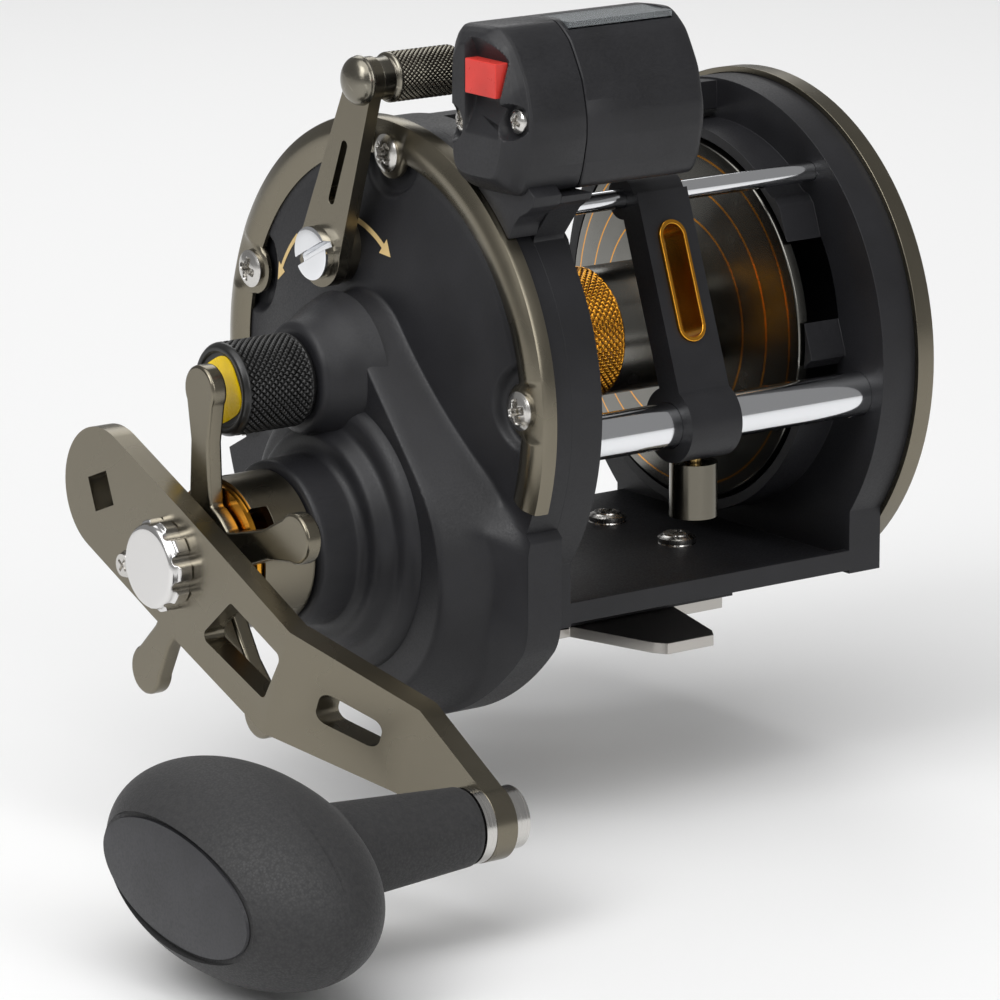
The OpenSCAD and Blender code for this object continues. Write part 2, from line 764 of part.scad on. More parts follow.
module units_wheel() {
    digit_wheel(0);
    color([0.9, 0.9, 0.88]) {
        gear(train_a, train_b, train_m, n_units, counter_c,
            mesh(units_angle, upper_phase, n_counter, n_units), 1.3);
        tube(train_b, wheel_a, 2.4, 1.3, counter_c);
    }
}
module counter_spindle() {
    color(bright) disc(cnt_a + 4.5, cnt_b - 2, 1.25, counter_c);
}

// Counter box: cap towards the handle, housing over the wheels, window on top
function cnt_outline(w = 0) =
    let (f = cnt_front + w, l = cnt_low + w, t = cnt_top - w, b = cnt_front + counter_w - w)
    [[b, l], [b, t - 3], [b - 2, t - 0.6], [f + 9, t], [f + 5, t - 3], [f + 1.6, t - 9],
    [f + 0.2, t - 15], [f + 0.2, cnt_top - 19], [f + 1.4, l + 3.5], [f + 3, l]];
module counter_cap() {
    x0 = cnt_a;
    color(charcoal) difference() {
        union() {
            along(x0 + 3.2, x0 + cnt_cap) polygon(cnt_outline());
            along(x0 + 1.5, x0 + 3.3) polygon(cnt_outline(1.2));
            along(x0, x0 + 1.6) polygon(cnt_outline(2.6));
        }
        along(x0 + 4.4, x0 + cnt_cap + 1) polygon(cnt_outline(cnt_wall));
        translate([x0 - 1, button_c[0] - button_w / 2 - gap, button_c[1] - button_h - 3])
            cube([2.4, button_w + 2 * gap, 2 * button_h + 6]);
        translate([x0 - 1, button_c[0] - button_w / 2 - gap, button_c[1] - button_h / 2 - gap])
            cube([8, button_w + 2 * gap, button_h + 2 * gap]);
        disc(plate_in - lug_th - 0.2, x0 + cnt_cap + 1, train_m * n_counter / 2 + 1.2, upper_c);
        disc(x0 - 1, x0 + cnt_cap + 1, ring_r + 0.1, plate_c);
        for (p = cap_screw_places) disc(x0 - 1, x0 + 3, 2.4, p);
        for (p = cap_screw_places) disc(x0, x0 + 9, 1, p);
        disc(x0 + 4, x0 + 5, 1.25, counter_c);
    }
}
button_c = [-33, axis_h + 57.5];
button_w = 8.4;
button_h = 5.8;
cap_screw_places = [[cnt_front + 2.7, cnt_low + 13], [cnt_front + counter_w - 2.7, cnt_low + 11]];
module counter_housing() {
    color(charcoal) difference() {
        along(cnt_a + cnt_cap, cnt_b) polygon(cnt_outline());
        along(cnt_a + cnt_cap - 1, cnt_b - 1.6) polygon(cnt_outline(cnt_wall));
        disc(cnt_a, side_r + 0.2, rim_r + 0.1, plate_c);
        translate([window_a, window_y - 0.1, cnt_top - 5])
            cube([window_b - window_a, window_w + 0.2, 12]);
    }
    color(charcoal) difference() {
        disc(cnt_b - 5, cnt_b - 1.5, 2.6, counter_c);
        disc(cnt_b - 6, cnt_b - 1.9, 1.25, counter_c);
    }
}
window_y = counter_c[0] - 3.5;
module counter_window() {
    color([0.7, 0.75, 0.78, 0.4])
        translate([window_a + 0.1, window_y, cnt_top - 1.4])
            cube([window_b - window_a - 0.2, window_w, 1]);
}
module counter_screws() {
    color(bright) for (p = cap_screw_places) pan_screw(cnt_a + 1.2, 1, 7, 0.98, 1.9, p);
}
module reset_button() {
    color([0.75, 0.1, 0.08]) {
        translate([cnt_a - 0.2, button_c[0] - button_w / 2, button_c[1] - button_h / 2])
            cube([5, button_w, button_h]);
        translate([cnt_a + 4.45, button_c[0] - button_w / 2 - 0.9, button_c[1] - button_h / 2 - 0.9])
            cube([0.7, button_w + 1.8, button_h / 2 + 0.9]);
    }
}

// Main shaft, drag stack and anti-reverse
module main_shaft() {
    sq = square_w / 2 - 0.05;
    color(bright) {
        disc(arm_back + 0.2, bridge_a - 0.2, main_r, main_c);
        disc(bridge_a - 0.3, bridge_b + 0.3, 3, main_c);
        translate([arm_face - 1.5, main_c[0], main_c[1]]) rotate([-156.6 + 45, 0, 0])
            translate([0, -sq, -sq]) cube([arm_th + 2.2, 2 * sq, 2 * sq]);
    }
}
disc_w = 0.8;
module drag_discs() {
    color([0.15, 0.15, 0.15]) for (i = [0, 2])
        tube(gear_a + 0.9 - i * disc_w, gear_a + 1.7 - i * disc_w, 14.6, main_r + run, main_c);
}
module drag_plates() {
    color(bright) for (i = [1, 3])
        tube(gear_a + 0.9 - i * disc_w, gear_a + 1.7 - i * disc_w, 14.4, main_r + run, main_c);
}
module ratchet_wheel() {
    color(bright) difference() {
        along(gear_b + 0.3, bridge_a - 0.4) at(main_c)
            polygon([for (i = [0 : 11], p = [[11.4, 0], [9.4, 2], [9.4, 29]])
                let (t = i * 30 + p[1]) p[0] * [cos(t), sin(t)]]);
        disc(gear_b, bridge_a, main_r, main_c);
    }
}
module ratchet_dog() {
    color(bright) {
        along(gear_b + 0.5, bridge_a - 0.5) at(dog_c) difference() {
            union() {
                circle(r = 2.2);
                rotate(60) translate([-1, 0]) square([2, 7]);
            }
        }
        disc(bridge_a - 0.6, bridge_b - 0.2, 1.45, dog_c);
    }
}
module drag_spacer() {
    color(gold) {
        tube(star_back + 0.3, gear_a - 1.6, 6, main_r + run, main_c);
        tube(star_back + 0.3, star_back + 1.3, 12.3, 5.9, main_c);
    }
}
module star_sleeve() {
    a = star_back + 1.5;
    b = collar_face - gap;
    color(gunmetal) difference() {
        tube(a, b, sleeve_r, sleeve_r - 2, main_c);
        for (t = [0 : 72 : 288]) translate([a - 1, main_c[0], main_c[1]]) rotate([t + 126, 0, 0])
            translate([0, -2.6, sleeve_r - 4]) cube([4.2, 5.2, 6]);
    }
    color(gunmetal) tube(b - 1.2, b, sleeve_r - 1, 6, main_c);
}
star_r = 33;
star_turn0 = 90.5;
module star_wheel() {
    color(gunmetal) difference() {
        along(star_face, star_back) at(main_c) difference() {
            union() {
                circle(r = 10);
                for (k = [0 : 4]) rotate(star_turn0 + 72 * k) {
                    polygon([[0, -4], [12, -3], [20, -2.6], [star_r - 4.2, -4.1], [star_r - 4.2, 4.1],
                        [20, 2.6], [12, 3], [0, 4]]);
                    translate([star_r - 4.3, 0]) circle(r = 4.3);
                }
            }
            circle(r = main_r + run);
        }
    }
}

// Handle arm, stepped towards the reel, with lightening cut-outs
lock_at = [-9.4, 6.6];                 // nut's lock screw, along and across the arm
module arm_frame() {
    translate([0, main_c[0], main_c[1]]) rotate([arm_angle, 0, 0]) children();
}
module arm_outline() {
    difference() {
        union() {
            translate([-arm_tail, 0]) circle(r = 11);
            polygon([[-arm_tail, -11], [0, -11], [bend_a, -10.2], [bend_b, -8.4], [arm_len, -6.3],
                [arm_len, 6.3], [bend_b, 8.4], [bend_a, 10.2], [0, 11], [-arm_tail, 11]]);
            translate([arm_len, 0]) circle(r = 6.4);
        }
        for (x = [-arm_tail, 0]) translate([x, 0]) rotate(45)
            square([square_w, square_w], center = true);
        rounded([[15, 4.4], [19, -3.6], [32.5, -3.6], [31.5, 3.6]], 1.2);
        rounded([[43.5, 0.9], [43.5, -0.9], [50.5, -0.7], [50.5, 0.7]], 1.9);
        translate([arm_len, 0]) circle(r = 2.6);
        translate(lock_at) circle(r = 1.02);
    }
}
module rounded(points, r) {
    offset(r = r) polygon(points);
}
module crank_arm() {
    color(gunmetal) intersection() {
        arm_frame() along(arm_face - 1, stud_face + arm_th + 1) arm_outline();
        arm_frame() rotate([180, 0, 90]) translate([0, 0, -20]) linear_extrude(40)
            polygon([[-arm_tail - 20, arm_face], [bend_a, arm_face], [bend_b, stud_face],
                [arm_len + 20, stud_face], [arm_len + 20, stud_face + arm_th],
                [bend_b - 1, stud_face + arm_th], [bend_a - 1, arm_back], [-arm_tail - 20, arm_back]]);
    }
}
module handle_nut() {
    color(bright) difference() {
        along(arm_face - 4, arm_face) at(main_c) difference() {
            circle(r = 7.8);
            for (k = [0 : 9]) rotate(36 * k + 18) translate([8.6, 0]) circle(r = 1.5);
        }
        disc(arm_face - 1.9, arm_face + 1, 4.3, main_c);
    }
}
module nut_lock_screw() {
    color(bright)
        pan_screw(arm_face - 1.6, 1, 5, 1, 2.4, main_c + lock_at[0] * arm_dir + lock_at[1] * arm_side);
}
knob_end = stud_face - 2.4;
knob_x = knob_end - knob_l + knob_h / 2 + 1.6;
module knob_stud() {
    color(bright) {
        disc(knob_x - 4, stud_face + arm_th + 0.2, stud_pin_r, stud_c);
        disc(stud_face + arm_th, stud_face + arm_th + 3.4, 5.2, stud_c);
        tube(stud_face - 2, stud_face, 6.3, 2.5, stud_c);
    }
}
module knob() {
    n = 14;
    a = knob_w / 2;
    b = knob_h / 2 + 0.6;
    color([0.17, 0.17, 0.18]) difference() {
        union() {
            translate([knob_x, stud_c[0], stud_c[1]]) rotate([knob_tilt, 0, 0]) rotate([90, 0, 0])
                rotate_extrude() polygon([for (i = [0 : n])
                    let (t = -90 + 180 * i / n) [b * cos(t), a * sin(t)]]);
            cone(knob_x, knob_end, 9.2, 6.2, stud_c);
        }
        disc(knob_x - 5, knob_end + 1, stud_pin_r + run, stud_c);
    }
}

// Free spool lever, its grip, pivot screw and the cam arm behind the plate
lever_a = face_r - 7;
lever_b = lever_a + 2.5;
lever_len = 33.6;
lever_deg = 111.5;
grip_c = lever_c + lever_len * [cos(lever_deg), sin(lever_deg)];
module lever_arm() {
    color(gunmetal) difference() {
        union() {
            along(lever_a, lever_b) at(lever_c) rotate(lever_deg) {
                circle(r = 6);
                polygon([[0, -5.8], [lever_len, -3.5], [lever_len, 3.5], [0, 5.8]]);
                translate([lever_len, 0]) circle(r = 3.9);
            }
            disc(lever_b - 0.5, plate_face - 0.3, 5.7, lever_c);
            disc(plate_face - 1, plate_in + 0.1, 3, lever_c);
        }
        disc(lever_a - 1, plate_in + 1, 2.5, lever_c);
        disc(lever_a - 1, lever_b + 1, 1.5, grip_c);
        along(lever_a - 1, lever_b + 0.01) at(lever_c) rotate(lever_deg) round_slot(10.5, 21, 0.85);
    }
}
module round_slot(from, to, r) {
    for (x = [from, to]) translate([x, 0]) circle(r = r);
    translate([from, -r]) square([to - from, 2 * r]);
}
module lever_screw() {
    color(bright) {
        difference() {
            disc(lever_a - 2, lever_a, 4.65, lever_c);
            translate([lever_a - 2, lever_c[0], lever_c[1]]) rotate([25, 0, 0])
                cube([1.6, 12, 1], center = true);
        }
        disc(lever_a - 1, plate_in + 0.9, 2.45, lever_c);
    }
}
module lever_cam() {
    color(bright) along(plate_in + 0.15, plate_in + 0.85) at(lever_c) difference() {
        hull() {
            circle(r = 4);
            rotate(-135) translate([9, 0]) circle(r = 2.5);
        }
        circle(r = 2.5);
    }
}
grip_len = 17;
module lever_grip() {
    color(gunmetal) {
        disc(lever_b, lever_b + 4, 3.4, grip_c);
        disc(lever_b + 4, lever_b + grip_len, 4.3, grip_c);
        disc(lever_a - 0.2, lever_b + 1, 1.45, grip_c);
        translate([0, grip_c[0], grip_c[1]]) rotate([0, 90, 0]) rotate_extrude()
            polygon(concat([[0, lever_a]], [for (i = [0 : 8]) let (t = i * 11.25)
                [4 * cos(t), lever_a - 2.6 * sin(t)]]));
    }
}

// Spool tension knob over the threaded boss
module tension_knob() {
    a = face_r - 33.1;
    b = tension_face - 0.4;
    color([0.12, 0.12, 0.12]) difference() {
        union() {
            disc(a, b - 2, 8, spool_c);
            disc(b - 2.1, b, 7.3, spool_c);
        }
        disc(b - 5.4, b + 1, 6.2 + run, spool_c);
        disc(b - 11, b, spindle_r + 0.5, spool_c);
    }
}

frame();
reel_foot();
foot_screws();
right_side_plate();
right_plate_ring();
ring_screws();
bridge_plate();
left_side_plate();
left_plate_ring();
guide_bar();
worm_tube();
worm_bushings();
counter_housing();
counter_cap();
counter_window();
counter_screws();
counter_spindle();
roller_clutch();
yoke_springs();
spool_bearings();
main_shaft();
main_gear();
drag_plates();
drag_discs();
ratchet_wheel();
drag_spacer();
crank_arm();
handle_nut();
nut_lock_screw();
knob_stud();
knob();
star_wheel();
star_sleeve();
ratchet_dog();
spool();
spool_band();
spool_shaft();
spool_gear();
click_wheel();
yoke();
pinion();
idler_gear();
worm_shaft();
worm_gear();
counter_gear_lower();
counter_gear_upper();
units_wheel();
tens_wheel();
hundreds_wheel();
line_guide();
guide_eye();
pawl();
pawl_cap();
lever_arm();
lever_grip();
lever_screw();
lever_cam();
tension_knob();
reset_button();
click_button();
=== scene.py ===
"""Looks of a level-wind trolling reel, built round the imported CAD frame.

Row frame: origin under the reel foot, +Z up, X along the spool axis with the handle at -X,
the line leaves towards -Y. Lengths below are in millimetres and turned into metres at the mesh.
"""
import json
import math

import bmesh
import bpy
import numpy as np
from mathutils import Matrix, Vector


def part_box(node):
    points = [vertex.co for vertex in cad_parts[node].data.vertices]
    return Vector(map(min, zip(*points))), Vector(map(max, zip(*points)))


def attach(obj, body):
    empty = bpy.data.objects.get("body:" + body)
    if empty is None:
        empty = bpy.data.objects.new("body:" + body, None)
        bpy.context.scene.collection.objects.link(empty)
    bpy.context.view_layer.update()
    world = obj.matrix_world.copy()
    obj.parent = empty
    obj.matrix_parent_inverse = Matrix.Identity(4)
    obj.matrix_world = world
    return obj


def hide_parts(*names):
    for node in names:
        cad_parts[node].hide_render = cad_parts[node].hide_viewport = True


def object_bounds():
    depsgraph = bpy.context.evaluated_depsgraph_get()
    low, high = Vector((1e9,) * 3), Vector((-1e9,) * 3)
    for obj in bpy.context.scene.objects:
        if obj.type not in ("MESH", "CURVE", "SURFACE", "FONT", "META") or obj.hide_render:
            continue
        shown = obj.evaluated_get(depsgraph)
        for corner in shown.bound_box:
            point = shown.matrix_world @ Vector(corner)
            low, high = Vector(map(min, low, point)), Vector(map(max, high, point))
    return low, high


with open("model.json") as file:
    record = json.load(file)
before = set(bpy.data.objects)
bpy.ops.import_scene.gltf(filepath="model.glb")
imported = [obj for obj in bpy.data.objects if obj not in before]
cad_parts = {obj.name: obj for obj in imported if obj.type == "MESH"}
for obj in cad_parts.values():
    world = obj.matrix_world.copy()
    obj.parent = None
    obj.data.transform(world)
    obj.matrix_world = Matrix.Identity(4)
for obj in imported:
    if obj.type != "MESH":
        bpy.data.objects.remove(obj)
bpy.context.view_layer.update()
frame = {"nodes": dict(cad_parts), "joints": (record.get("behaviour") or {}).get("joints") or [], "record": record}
MM = 0.001


# ---------------------------------------------------------------- places taken from the frame
def box_mm(node):
    """Lowest and highest corner of a CAD node, in millimetres."""
    low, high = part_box(node)
    return np.array(low) / MM, np.array(high) / MM


def axis_of(joint):
    """Y and Z of a joint's axis, in millimetres."""
    found = next(j for j in frame["joints"] if j["name"] == joint)
    return np.array(found["pos_m"][1:]) / MM


SPOOL = axis_of("spool_spin")
MAIN = axis_of("crank_spin")
LEVER = axis_of("lever_swing")
STUD = axis_of("knob_spin")
RING_LOW, RING_HIGH = box_mm("left_plate_ring")
PLATE = np.array([0.0, (RING_LOW[2] + RING_HIGH[2]) / 2])
RING_R = (RING_HIGH[1] - RING_LOW[1]) / 2
FACE_R = box_mm("right_plate_ring")[0][0]
PLATE_FACE = FACE_R + 1.0
RIM_BACK = box_mm("right_side_plate")[1][0]
RIM_R = RING_R - 1.1
SCREW_R = RING_R - 5.6
RING_SCREWS = [94.0, 20.0, 176.5]
RING_WIDTH = 6.4
# Lower part of the housing, from the plate's centre: middle and radius of its round, front and top cuts
LOW_MIDDLE = np.array([-2.1, -6.4])
LOW_R = RING_R + 4.8
LOW_FRONT = RING_R - 3.8
LOW_TOP = -19.6
FLAT_HEIGHT = 12.4


def on_circle(centre, radius, degrees):
    """Y and Z of a point at radius from centre; the angle turns from +Y towards +Z."""
    return centre + radius * np.array([math.cos(math.radians(degrees)), math.sin(math.radians(degrees))])


# ---------------------------------------------------------------- mesh tools
def link(name, data):
    """New object at the origin that holds a mesh, a lamp or a camera."""
    piece = bpy.data.objects.new(name, data)
    bpy.context.scene.collection.objects.link(piece)
    return piece


def settle(mesh, crease=35.0):
    """Merges doubles, turns the faces outwards and keeps edges sharper than crease sharp."""
    work = bmesh.new()
    work.from_mesh(mesh)
    bmesh.ops.remove_doubles(work, verts=work.verts, dist=1e-6)
    bmesh.ops.recalc_face_normals(work, faces=work.faces)
    work.to_mesh(mesh)
    work.free()
    mesh.shade_smooth()
    mesh.set_sharp_from_angle(angle=math.radians(crease))
    mesh.update()


def grid_faces(nu, nv, wrap_u=False, wrap_v=False):
    """Quads of a nu by nv grid of points, row after row, closed round where it wraps."""
    u = np.arange(nu if wrap_u else nu - 1)
    v = np.arange(nv if wrap_v else nv - 1)
    a, b = np.meshgrid(u, v, indexing="ij")
    a2, b2 = (a + 1) % nu, (b + 1) % nv
    return np.stack([a * nv + b, a2 * nv + b, a2 * nv + b2, a * nv + b2], axis=-1).reshape(-1, 4)


def surface(name, points, wrap_u=False, wrap_v=False, crease=35.0):
    """Mesh through a grid of points in millimetres, shape (nu, nv, 3)."""
    nu, nv = points.shape[:2]
    mesh = bpy.data.meshes.new(name)
    faces = grid_faces(nu, nv, wrap_u, wrap_v)
    mesh.from_pydata((points.reshape(-1, 3) * MM).tolist(), [], faces.tolist())
    settle(mesh, crease)
    return link(name, mesh)


def lathe(name, profile, axis, steps=128, closed=False, relief=None, crease=35.0):
    """Turned piece: x(t), r(t) go round the axis, y = axis_y + r cos a, z = axis_z + r sin a.
    relief(x, a, r) gives what is added to the radius, as for a knurl."""
    profile = np.asarray(profile, float)
    turn = np.linspace(0, 2 * np.pi, steps, endpoint=False)
    x = np.repeat(profile[:, :1], steps, axis=1)
    r = np.repeat(profile[:, 1:2], steps, axis=1)
    a = np.repeat(turn[None, :], len(profile), axis=0)
    if relief is not None:
        r = r + relief(x, a, r)
    points = np.stack([x, axis[0] + r * np.cos(a), axis[1] + r * np.sin(a)], axis=-1)
    return surface(name, points, wrap_u=closed, wrap_v=True, crease=crease)


def soft_profile(corners, radius=0.4, arc=5):
    """Open profile with each inner corner rounded by a quadratic curve of the given reach."""
    corners = np.asarray(corners, float)
    out = [corners[0]]
    t = np.linspace(0, 1, arc)[:, None]
    for before, here, after in zip(corners[:-2], corners[1:-1], corners[2:]):
        reach = min(radius, np.linalg.norm(before - here) / 2.2, np.linalg.norm(after - here) / 2.2)
        p = here + (before - here) / max(np.linalg.norm(before - here), 1e-9) * reach
        q = here + (after - here) / max(np.linalg.norm(after - here), 1e-9) * reach
        out.extend((1 - t) ** 2 * p + 2 * t * (1 - t) * here + t ** 2 * q)
    out.append(corners[-1])
    return np.array(out)


def fill(profile, gap):
    """Adds points along a profile so that none are further apart than gap."""
    out = [profile[0]]
    for p, q in zip(profile[:-1], profile[1:]):
        n = max(1, int(math.ceil(np.linalg.norm(q - p) / gap)))
        out.extend(p + (q - p) * (k + 1) / n for k in range(n))
    return np.array(out)


def keep_result(piece):
    """Makes the result of a piece's modifiers its own mesh."""
    done = bpy.data.meshes.new_from_object(piece.evaluated_get(bpy.context.evaluated_depsgraph_get()))
    piece.modifiers.clear()
    piece.data = done
    return done


def ease_edges(piece, width, angle=28.0, crease=40.0):
    """Rounds the edges that are sharper than angle over width, in three steps."""
    bevel = piece.modifiers.new("edges", "BEVEL")
    bevel.width, bevel.segments = width * MM, 3
    bevel.limit_method, bevel.angle_limit = "ANGLE", math.radians(angle)
    bevel.use_clamp_overlap = True
    done = keep_result(piece)
    done.shade_smooth()
    done.set_sharp_from_angle(angle=math.radians(crease))


def eased_copy(node, width):
    """Copy of a CAD node with merged corners and rounded edges."""
    mesh = frame["nodes"][node].data.copy()
    work = bmesh.new()
    work.from_mesh(mesh)
    bmesh.ops.remove_doubles(work, verts=work.verts, dist=2e-6)
    bmesh.ops.dissolve_degenerate(work, edges=work.edges, dist=2e-6)
    bmesh.ops.dissolve_limit(work, angle_limit=math.radians(0.6), verts=work.verts, edges=work.edges)
    work.to_mesh(mesh)
    work.free()
    mesh.materials.clear()
    piece = link(node + "_shell", mesh)
    ease_edges(piece, width)
    piece.modifiers.new("normals", "WEIGHTED_NORMAL").keep_sharp = True
    return piece


def body_name(node):
    """Body that a CAD node belongs to."""
    return next(b for b, names in frame["record"]["behaviour"]["bodies"].items() if node in names)


def dress(piece, finish, node, hides=True):
    """Gives a piece its finish and the body of its CAD node, and lets it stand for that node."""
    piece.data.materials.clear()
    piece.data.materials.append(finish)
    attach(piece, body_name(node))
    if hides:
        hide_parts(node)


# ---------------------------------------------------------------- finishes
class Finish:
    """A material's node tree with short calls for the nodes that the finishes share."""

    def __init__(self, name, colour, metal=0.0, rough=0.5, **sockets):
        """Plain shader of one colour; further sockets are named with _ for a space."""
        self.material = bpy.data.materials.new(name)
        self.material.use_nodes = True
        self.tree = self.material.node_tree
        self.shader = self.tree.nodes["Principled BSDF"]
        self.shader.inputs["Base Color"].default_value = (*colour, 1)
        self.shader.inputs["Metallic"].default_value = metal
        self.shader.inputs["Roughness"].default_value = rough
        for key, value in sockets.items():
            self.shader.inputs[key.replace("_", " ")].default_value = value
        self.place = self.tree.nodes.new("ShaderNodeTexCoord").outputs["Object"]
        self.height = None

    def node(self, kind, **inputs):
        """New node whose inputs are set to numbers or joined to other nodes."""
        made = self.tree.nodes.new(kind)
        for key, value in inputs.items():
            target = made.inputs[key] if not key.isdigit() else made.inputs[int(key)]
            if isinstance(value, bpy.types.NodeSocket):
                self.tree.links.new(value, target)
            else:
                target.default_value = value
        return made

    def stretch(self, x, y, z):
        """Object place scaled by x, y, z."""
        return self.node("ShaderNodeMapping", Vector=self.place, Scale=(x, y, z)).outputs[0]

    def noise(self, size_mm, detail=2.0, at=None):
        """Noise with spots of about the given size."""
        scale = 1 / (size_mm * MM)
        made = self.node("ShaderNodeTexNoise", Vector=at or self.place, Scale=scale, Detail=detail)
        return made.outputs["Fac"]

    def ramp(self, value, low, high, to_low, to_high):
        """Value from low to high becomes to_low to to_high."""
        made = self.node("ShaderNodeMapRange", Value=value)
        for key, number in (("From Min", low), ("From Max", high), ("To Min", to_low), ("To Max", to_high)):
            made.inputs[key].default_value = number
        return made.outputs[0]

    def mix(self, factor, a, b):
        """Colour between a and b."""
        made = self.tree.nodes.new("ShaderNodeMix")
        made.data_type = "RGBA"
        self.tree.links.new(factor, made.inputs[0])
        for socket, value in ((made.inputs[6], a), (made.inputs[7], b)):
            if isinstance(value, bpy.types.NodeSocket):
                self.tree.links.new(value, socket)
            else:
                socket.default_value = (*value, 1)
        return made.outputs[2]

    def math(self, kind, a, b=0.0):
        """Sum of one of the math node's kinds, on sockets or numbers."""
        made = self.tree.nodes.new("ShaderNodeMath")
        made.operation = kind
        for socket, value in ((made.inputs[0], a), (made.inputs[1], b)):
            if isinstance(value, bpy.types.NodeSocket):
                self.tree.links.new(value, socket)
            else:
                socket.default_value = value
        return made.outputs[0]

    def colour(self, socket):
        """Joins the base colour."""
        self.tree.links.new(socket, self.shader.inputs["Base Color"])

    def rough(self, socket):
        """Joins the roughness."""
        self.tree.links.new(socket, self.shader.inputs["Roughness"])

    def bump(self, value, depth_mm, strength=1.0):
        """Adds a bump of the given depth on top of the ones made before."""
        made = self.node("ShaderNodeBump", Height=value, Strength=strength, Distance=depth_mm * MM)
        if self.height is not None:
            self.tree.links.new(self.height, made.inputs["Normal"])
        self.height = made.outputs[0]
        self.tree.links.new(self.height, self.shader.inputs["Normal"])


def grained_plastic(name, colour, rough=0.5, grain=0.35, depth=0.02):
    """Moulded nylon: fine grain in the normal, faint large patches in colour and gloss."""
    made = Finish(name, colour, rough=rough, Specular_IOR_Level=0.36)
    patches = made.noise(9.0, 3.0)
    fine = made.noise(grain, 2.0)
    dark = tuple(c * 0.82 for c in colour)
    light = tuple(c * 1.2 for c in colour)
    made.colour(made.mix(made.ramp(patches, 0.3, 0.7, 0.0, 1.0), dark, light))
    made.rough(made.ramp(fine, 0.3, 0.7, rough - 0.07, rough + 0.09))
    made.bump(fine, depth, 0.55)
    return made.material


def anodised(name, colour, rough=0.3, streak=0.05):
    """Bead-blasted anodised metal: tiny frosted bump and a slow drift of gloss."""
    made = Finish(name, colour, metal=1.0, rough=rough)
    slow = made.noise(14.0, 2.0)
    frost = made.noise(0.16, 1.0)
    dark = tuple(c * 0.9 for c in colour)
    light = tuple(min(1.0, c * 1.08) for c in colour)
    made.colour(made.mix(slow, dark, light))
    made.rough(made.ramp(slow, 0.3, 0.7, rough - streak, rough + streak))
    made.bump(frost, 0.004, 0.35)
    return made.material


def polished(name, colour, rough=0.14, line_mm=0.25):
    """Drawn or turned bright metal: faint lines round the X axis and small gloss changes."""
    made = Finish(name, colour, metal=1.0, rough=rough)
    lines = made.noise(1.0, 3.0, made.stretch(1 / line_mm, 0.12, 0.12))
    made.rough(made.ramp(lines, 0.3, 0.7, rough * 0.75, rough * 1.5))
    made.bump(lines, 0.002, 0.25)
    return made.material


def knurled(name, colour, metal, rough, valley_shade):
    """Metal whose knurl is in the mesh: the valleys, found by pointiness, take a darker colour, a painted shade.
    """
    made = Finish(name, colour, metal=metal, rough=rough)
    point = made.tree.nodes.new("ShaderNodeNewGeometry").outputs["Pointiness"]
    # Painted shade: where pointiness is low, in the knurl's valleys, the colour darkens to the last colour given.
    made.colour(made.mix(made.ramp(point, 0.44, 0.54, 0.0, 1.0), valley_shade, colour))
    made.bump(made.noise(0.2, 1.0), 0.004, 0.3)
    return made.material


def foam():
    """Closed-cell knob foam: two sizes of pebble and a soft worn sheen."""
    made = Finish("knob_foam", (0.02, 0.02, 0.021), rough=0.62, Sheen_Weight=0.06, Sheen_Roughness=0.4)
    cells = made.node("ShaderNodeTexVoronoi", Vector=made.place, Scale=2300.0).outputs["Distance"]
    soft = made.noise(0.9, 3.0)
    made.colour(made.mix(made.ramp(soft, 0.3, 0.7, 0, 1), (0.015, 0.015, 0.016), (0.024, 0.0235, 0.024)))
    made.rough(made.ramp(cells, 0.0, 0.7, 0.52, 0.74))
    made.bump(cells, 0.05, 0.6)
    made.bump(soft, 0.03, 0.35)
    return made.material


FLANGE_LINES = [19.5, 24.7, 29.8]
FLANGE_LINE_HALF = 0.17


def spool_finish():
    """Dark polished anodising with thin gold lines at three radii on the flanges."""
    made = Finish("spool_dark", (0.2, 0.195, 0.175), metal=1.0, rough=0.22)
    at = made.node("ShaderNodeMapping", Vector=made.place, Location=(0, -SPOOL[0] * MM, -SPOOL[1] * MM))
    split = made.node("ShaderNodeSeparateXYZ", Vector=at.outputs[0])
    r = made.math("SQRT", made.math("ADD", made.math("POWER", split.outputs[1], 2.0),
                                    made.math("POWER", split.outputs[2], 2.0)))
    lines = None
    for radius in FLANGE_LINES:
        off = made.math("ABSOLUTE", made.math("SUBTRACT", r, radius * MM))
        here = made.math("LESS_THAN", off, FLANGE_LINE_HALF * MM)
        lines = here if lines is None else made.math("MAXIMUM", lines, here)
    turning = made.noise(5.0, 3.0)
    base = made.mix(turning, (0.17, 0.166, 0.15), (0.23, 0.225, 0.205))
    made.colour(made.mix(lines, base, (0.95, 0.42, 0.06)))
    made.rough(made.ramp(made.noise(6.0), 0.3, 0.7, 0.2, 0.28))
    return made.material


plastic = grained_plastic("charcoal_plastic", (0.0125, 0.0125, 0.0145), rough=0.45)
plastic_smooth = grained_plastic("counter_plastic", (0.0155, 0.0155, 0.0175), rough=0.42, grain=0.5,
                                 depth=0.012)
gunmetal = anodised("champagne_anodised", (0.2, 0.18, 0.138), rough=0.27)
gunmetal_dark = anodised("dark_anodised", (0.16, 0.148, 0.12), rough=0.24)
gold = anodised("gold_anodised", (0.72, 0.33, 0.035), rough=0.2)
# The last colour of each knurl is the painted shade in its valleys.
gold_knurl = knurled("gold_knurl", (0.95, 0.45, 0.05), 1.0, 0.22, (0.25, 0.08, 0.004))
black_knurl = knurled("black_knurl", (0.05, 0.05, 0.05), 0.7, 0.3, (0.008, 0.008, 0.008))
grip_knurl = knurled("grip_knurl", (0.3, 0.28, 0.23), 1.0, 0.25, (0.03, 0.027, 0.022))
chrome = polished("polished_steel", (0.82, 0.83, 0.85), rough=0.1)
steel = polished("screw_steel", (0.6, 0.585, 0.56), rough=0.2)
nut_steel = anodised("nut_steel", (0.72, 0.71, 0.7), rough=0.24)
foot_steel = anodised("foot_steel", (0.5, 0.48, 0.45), rough=0.34)
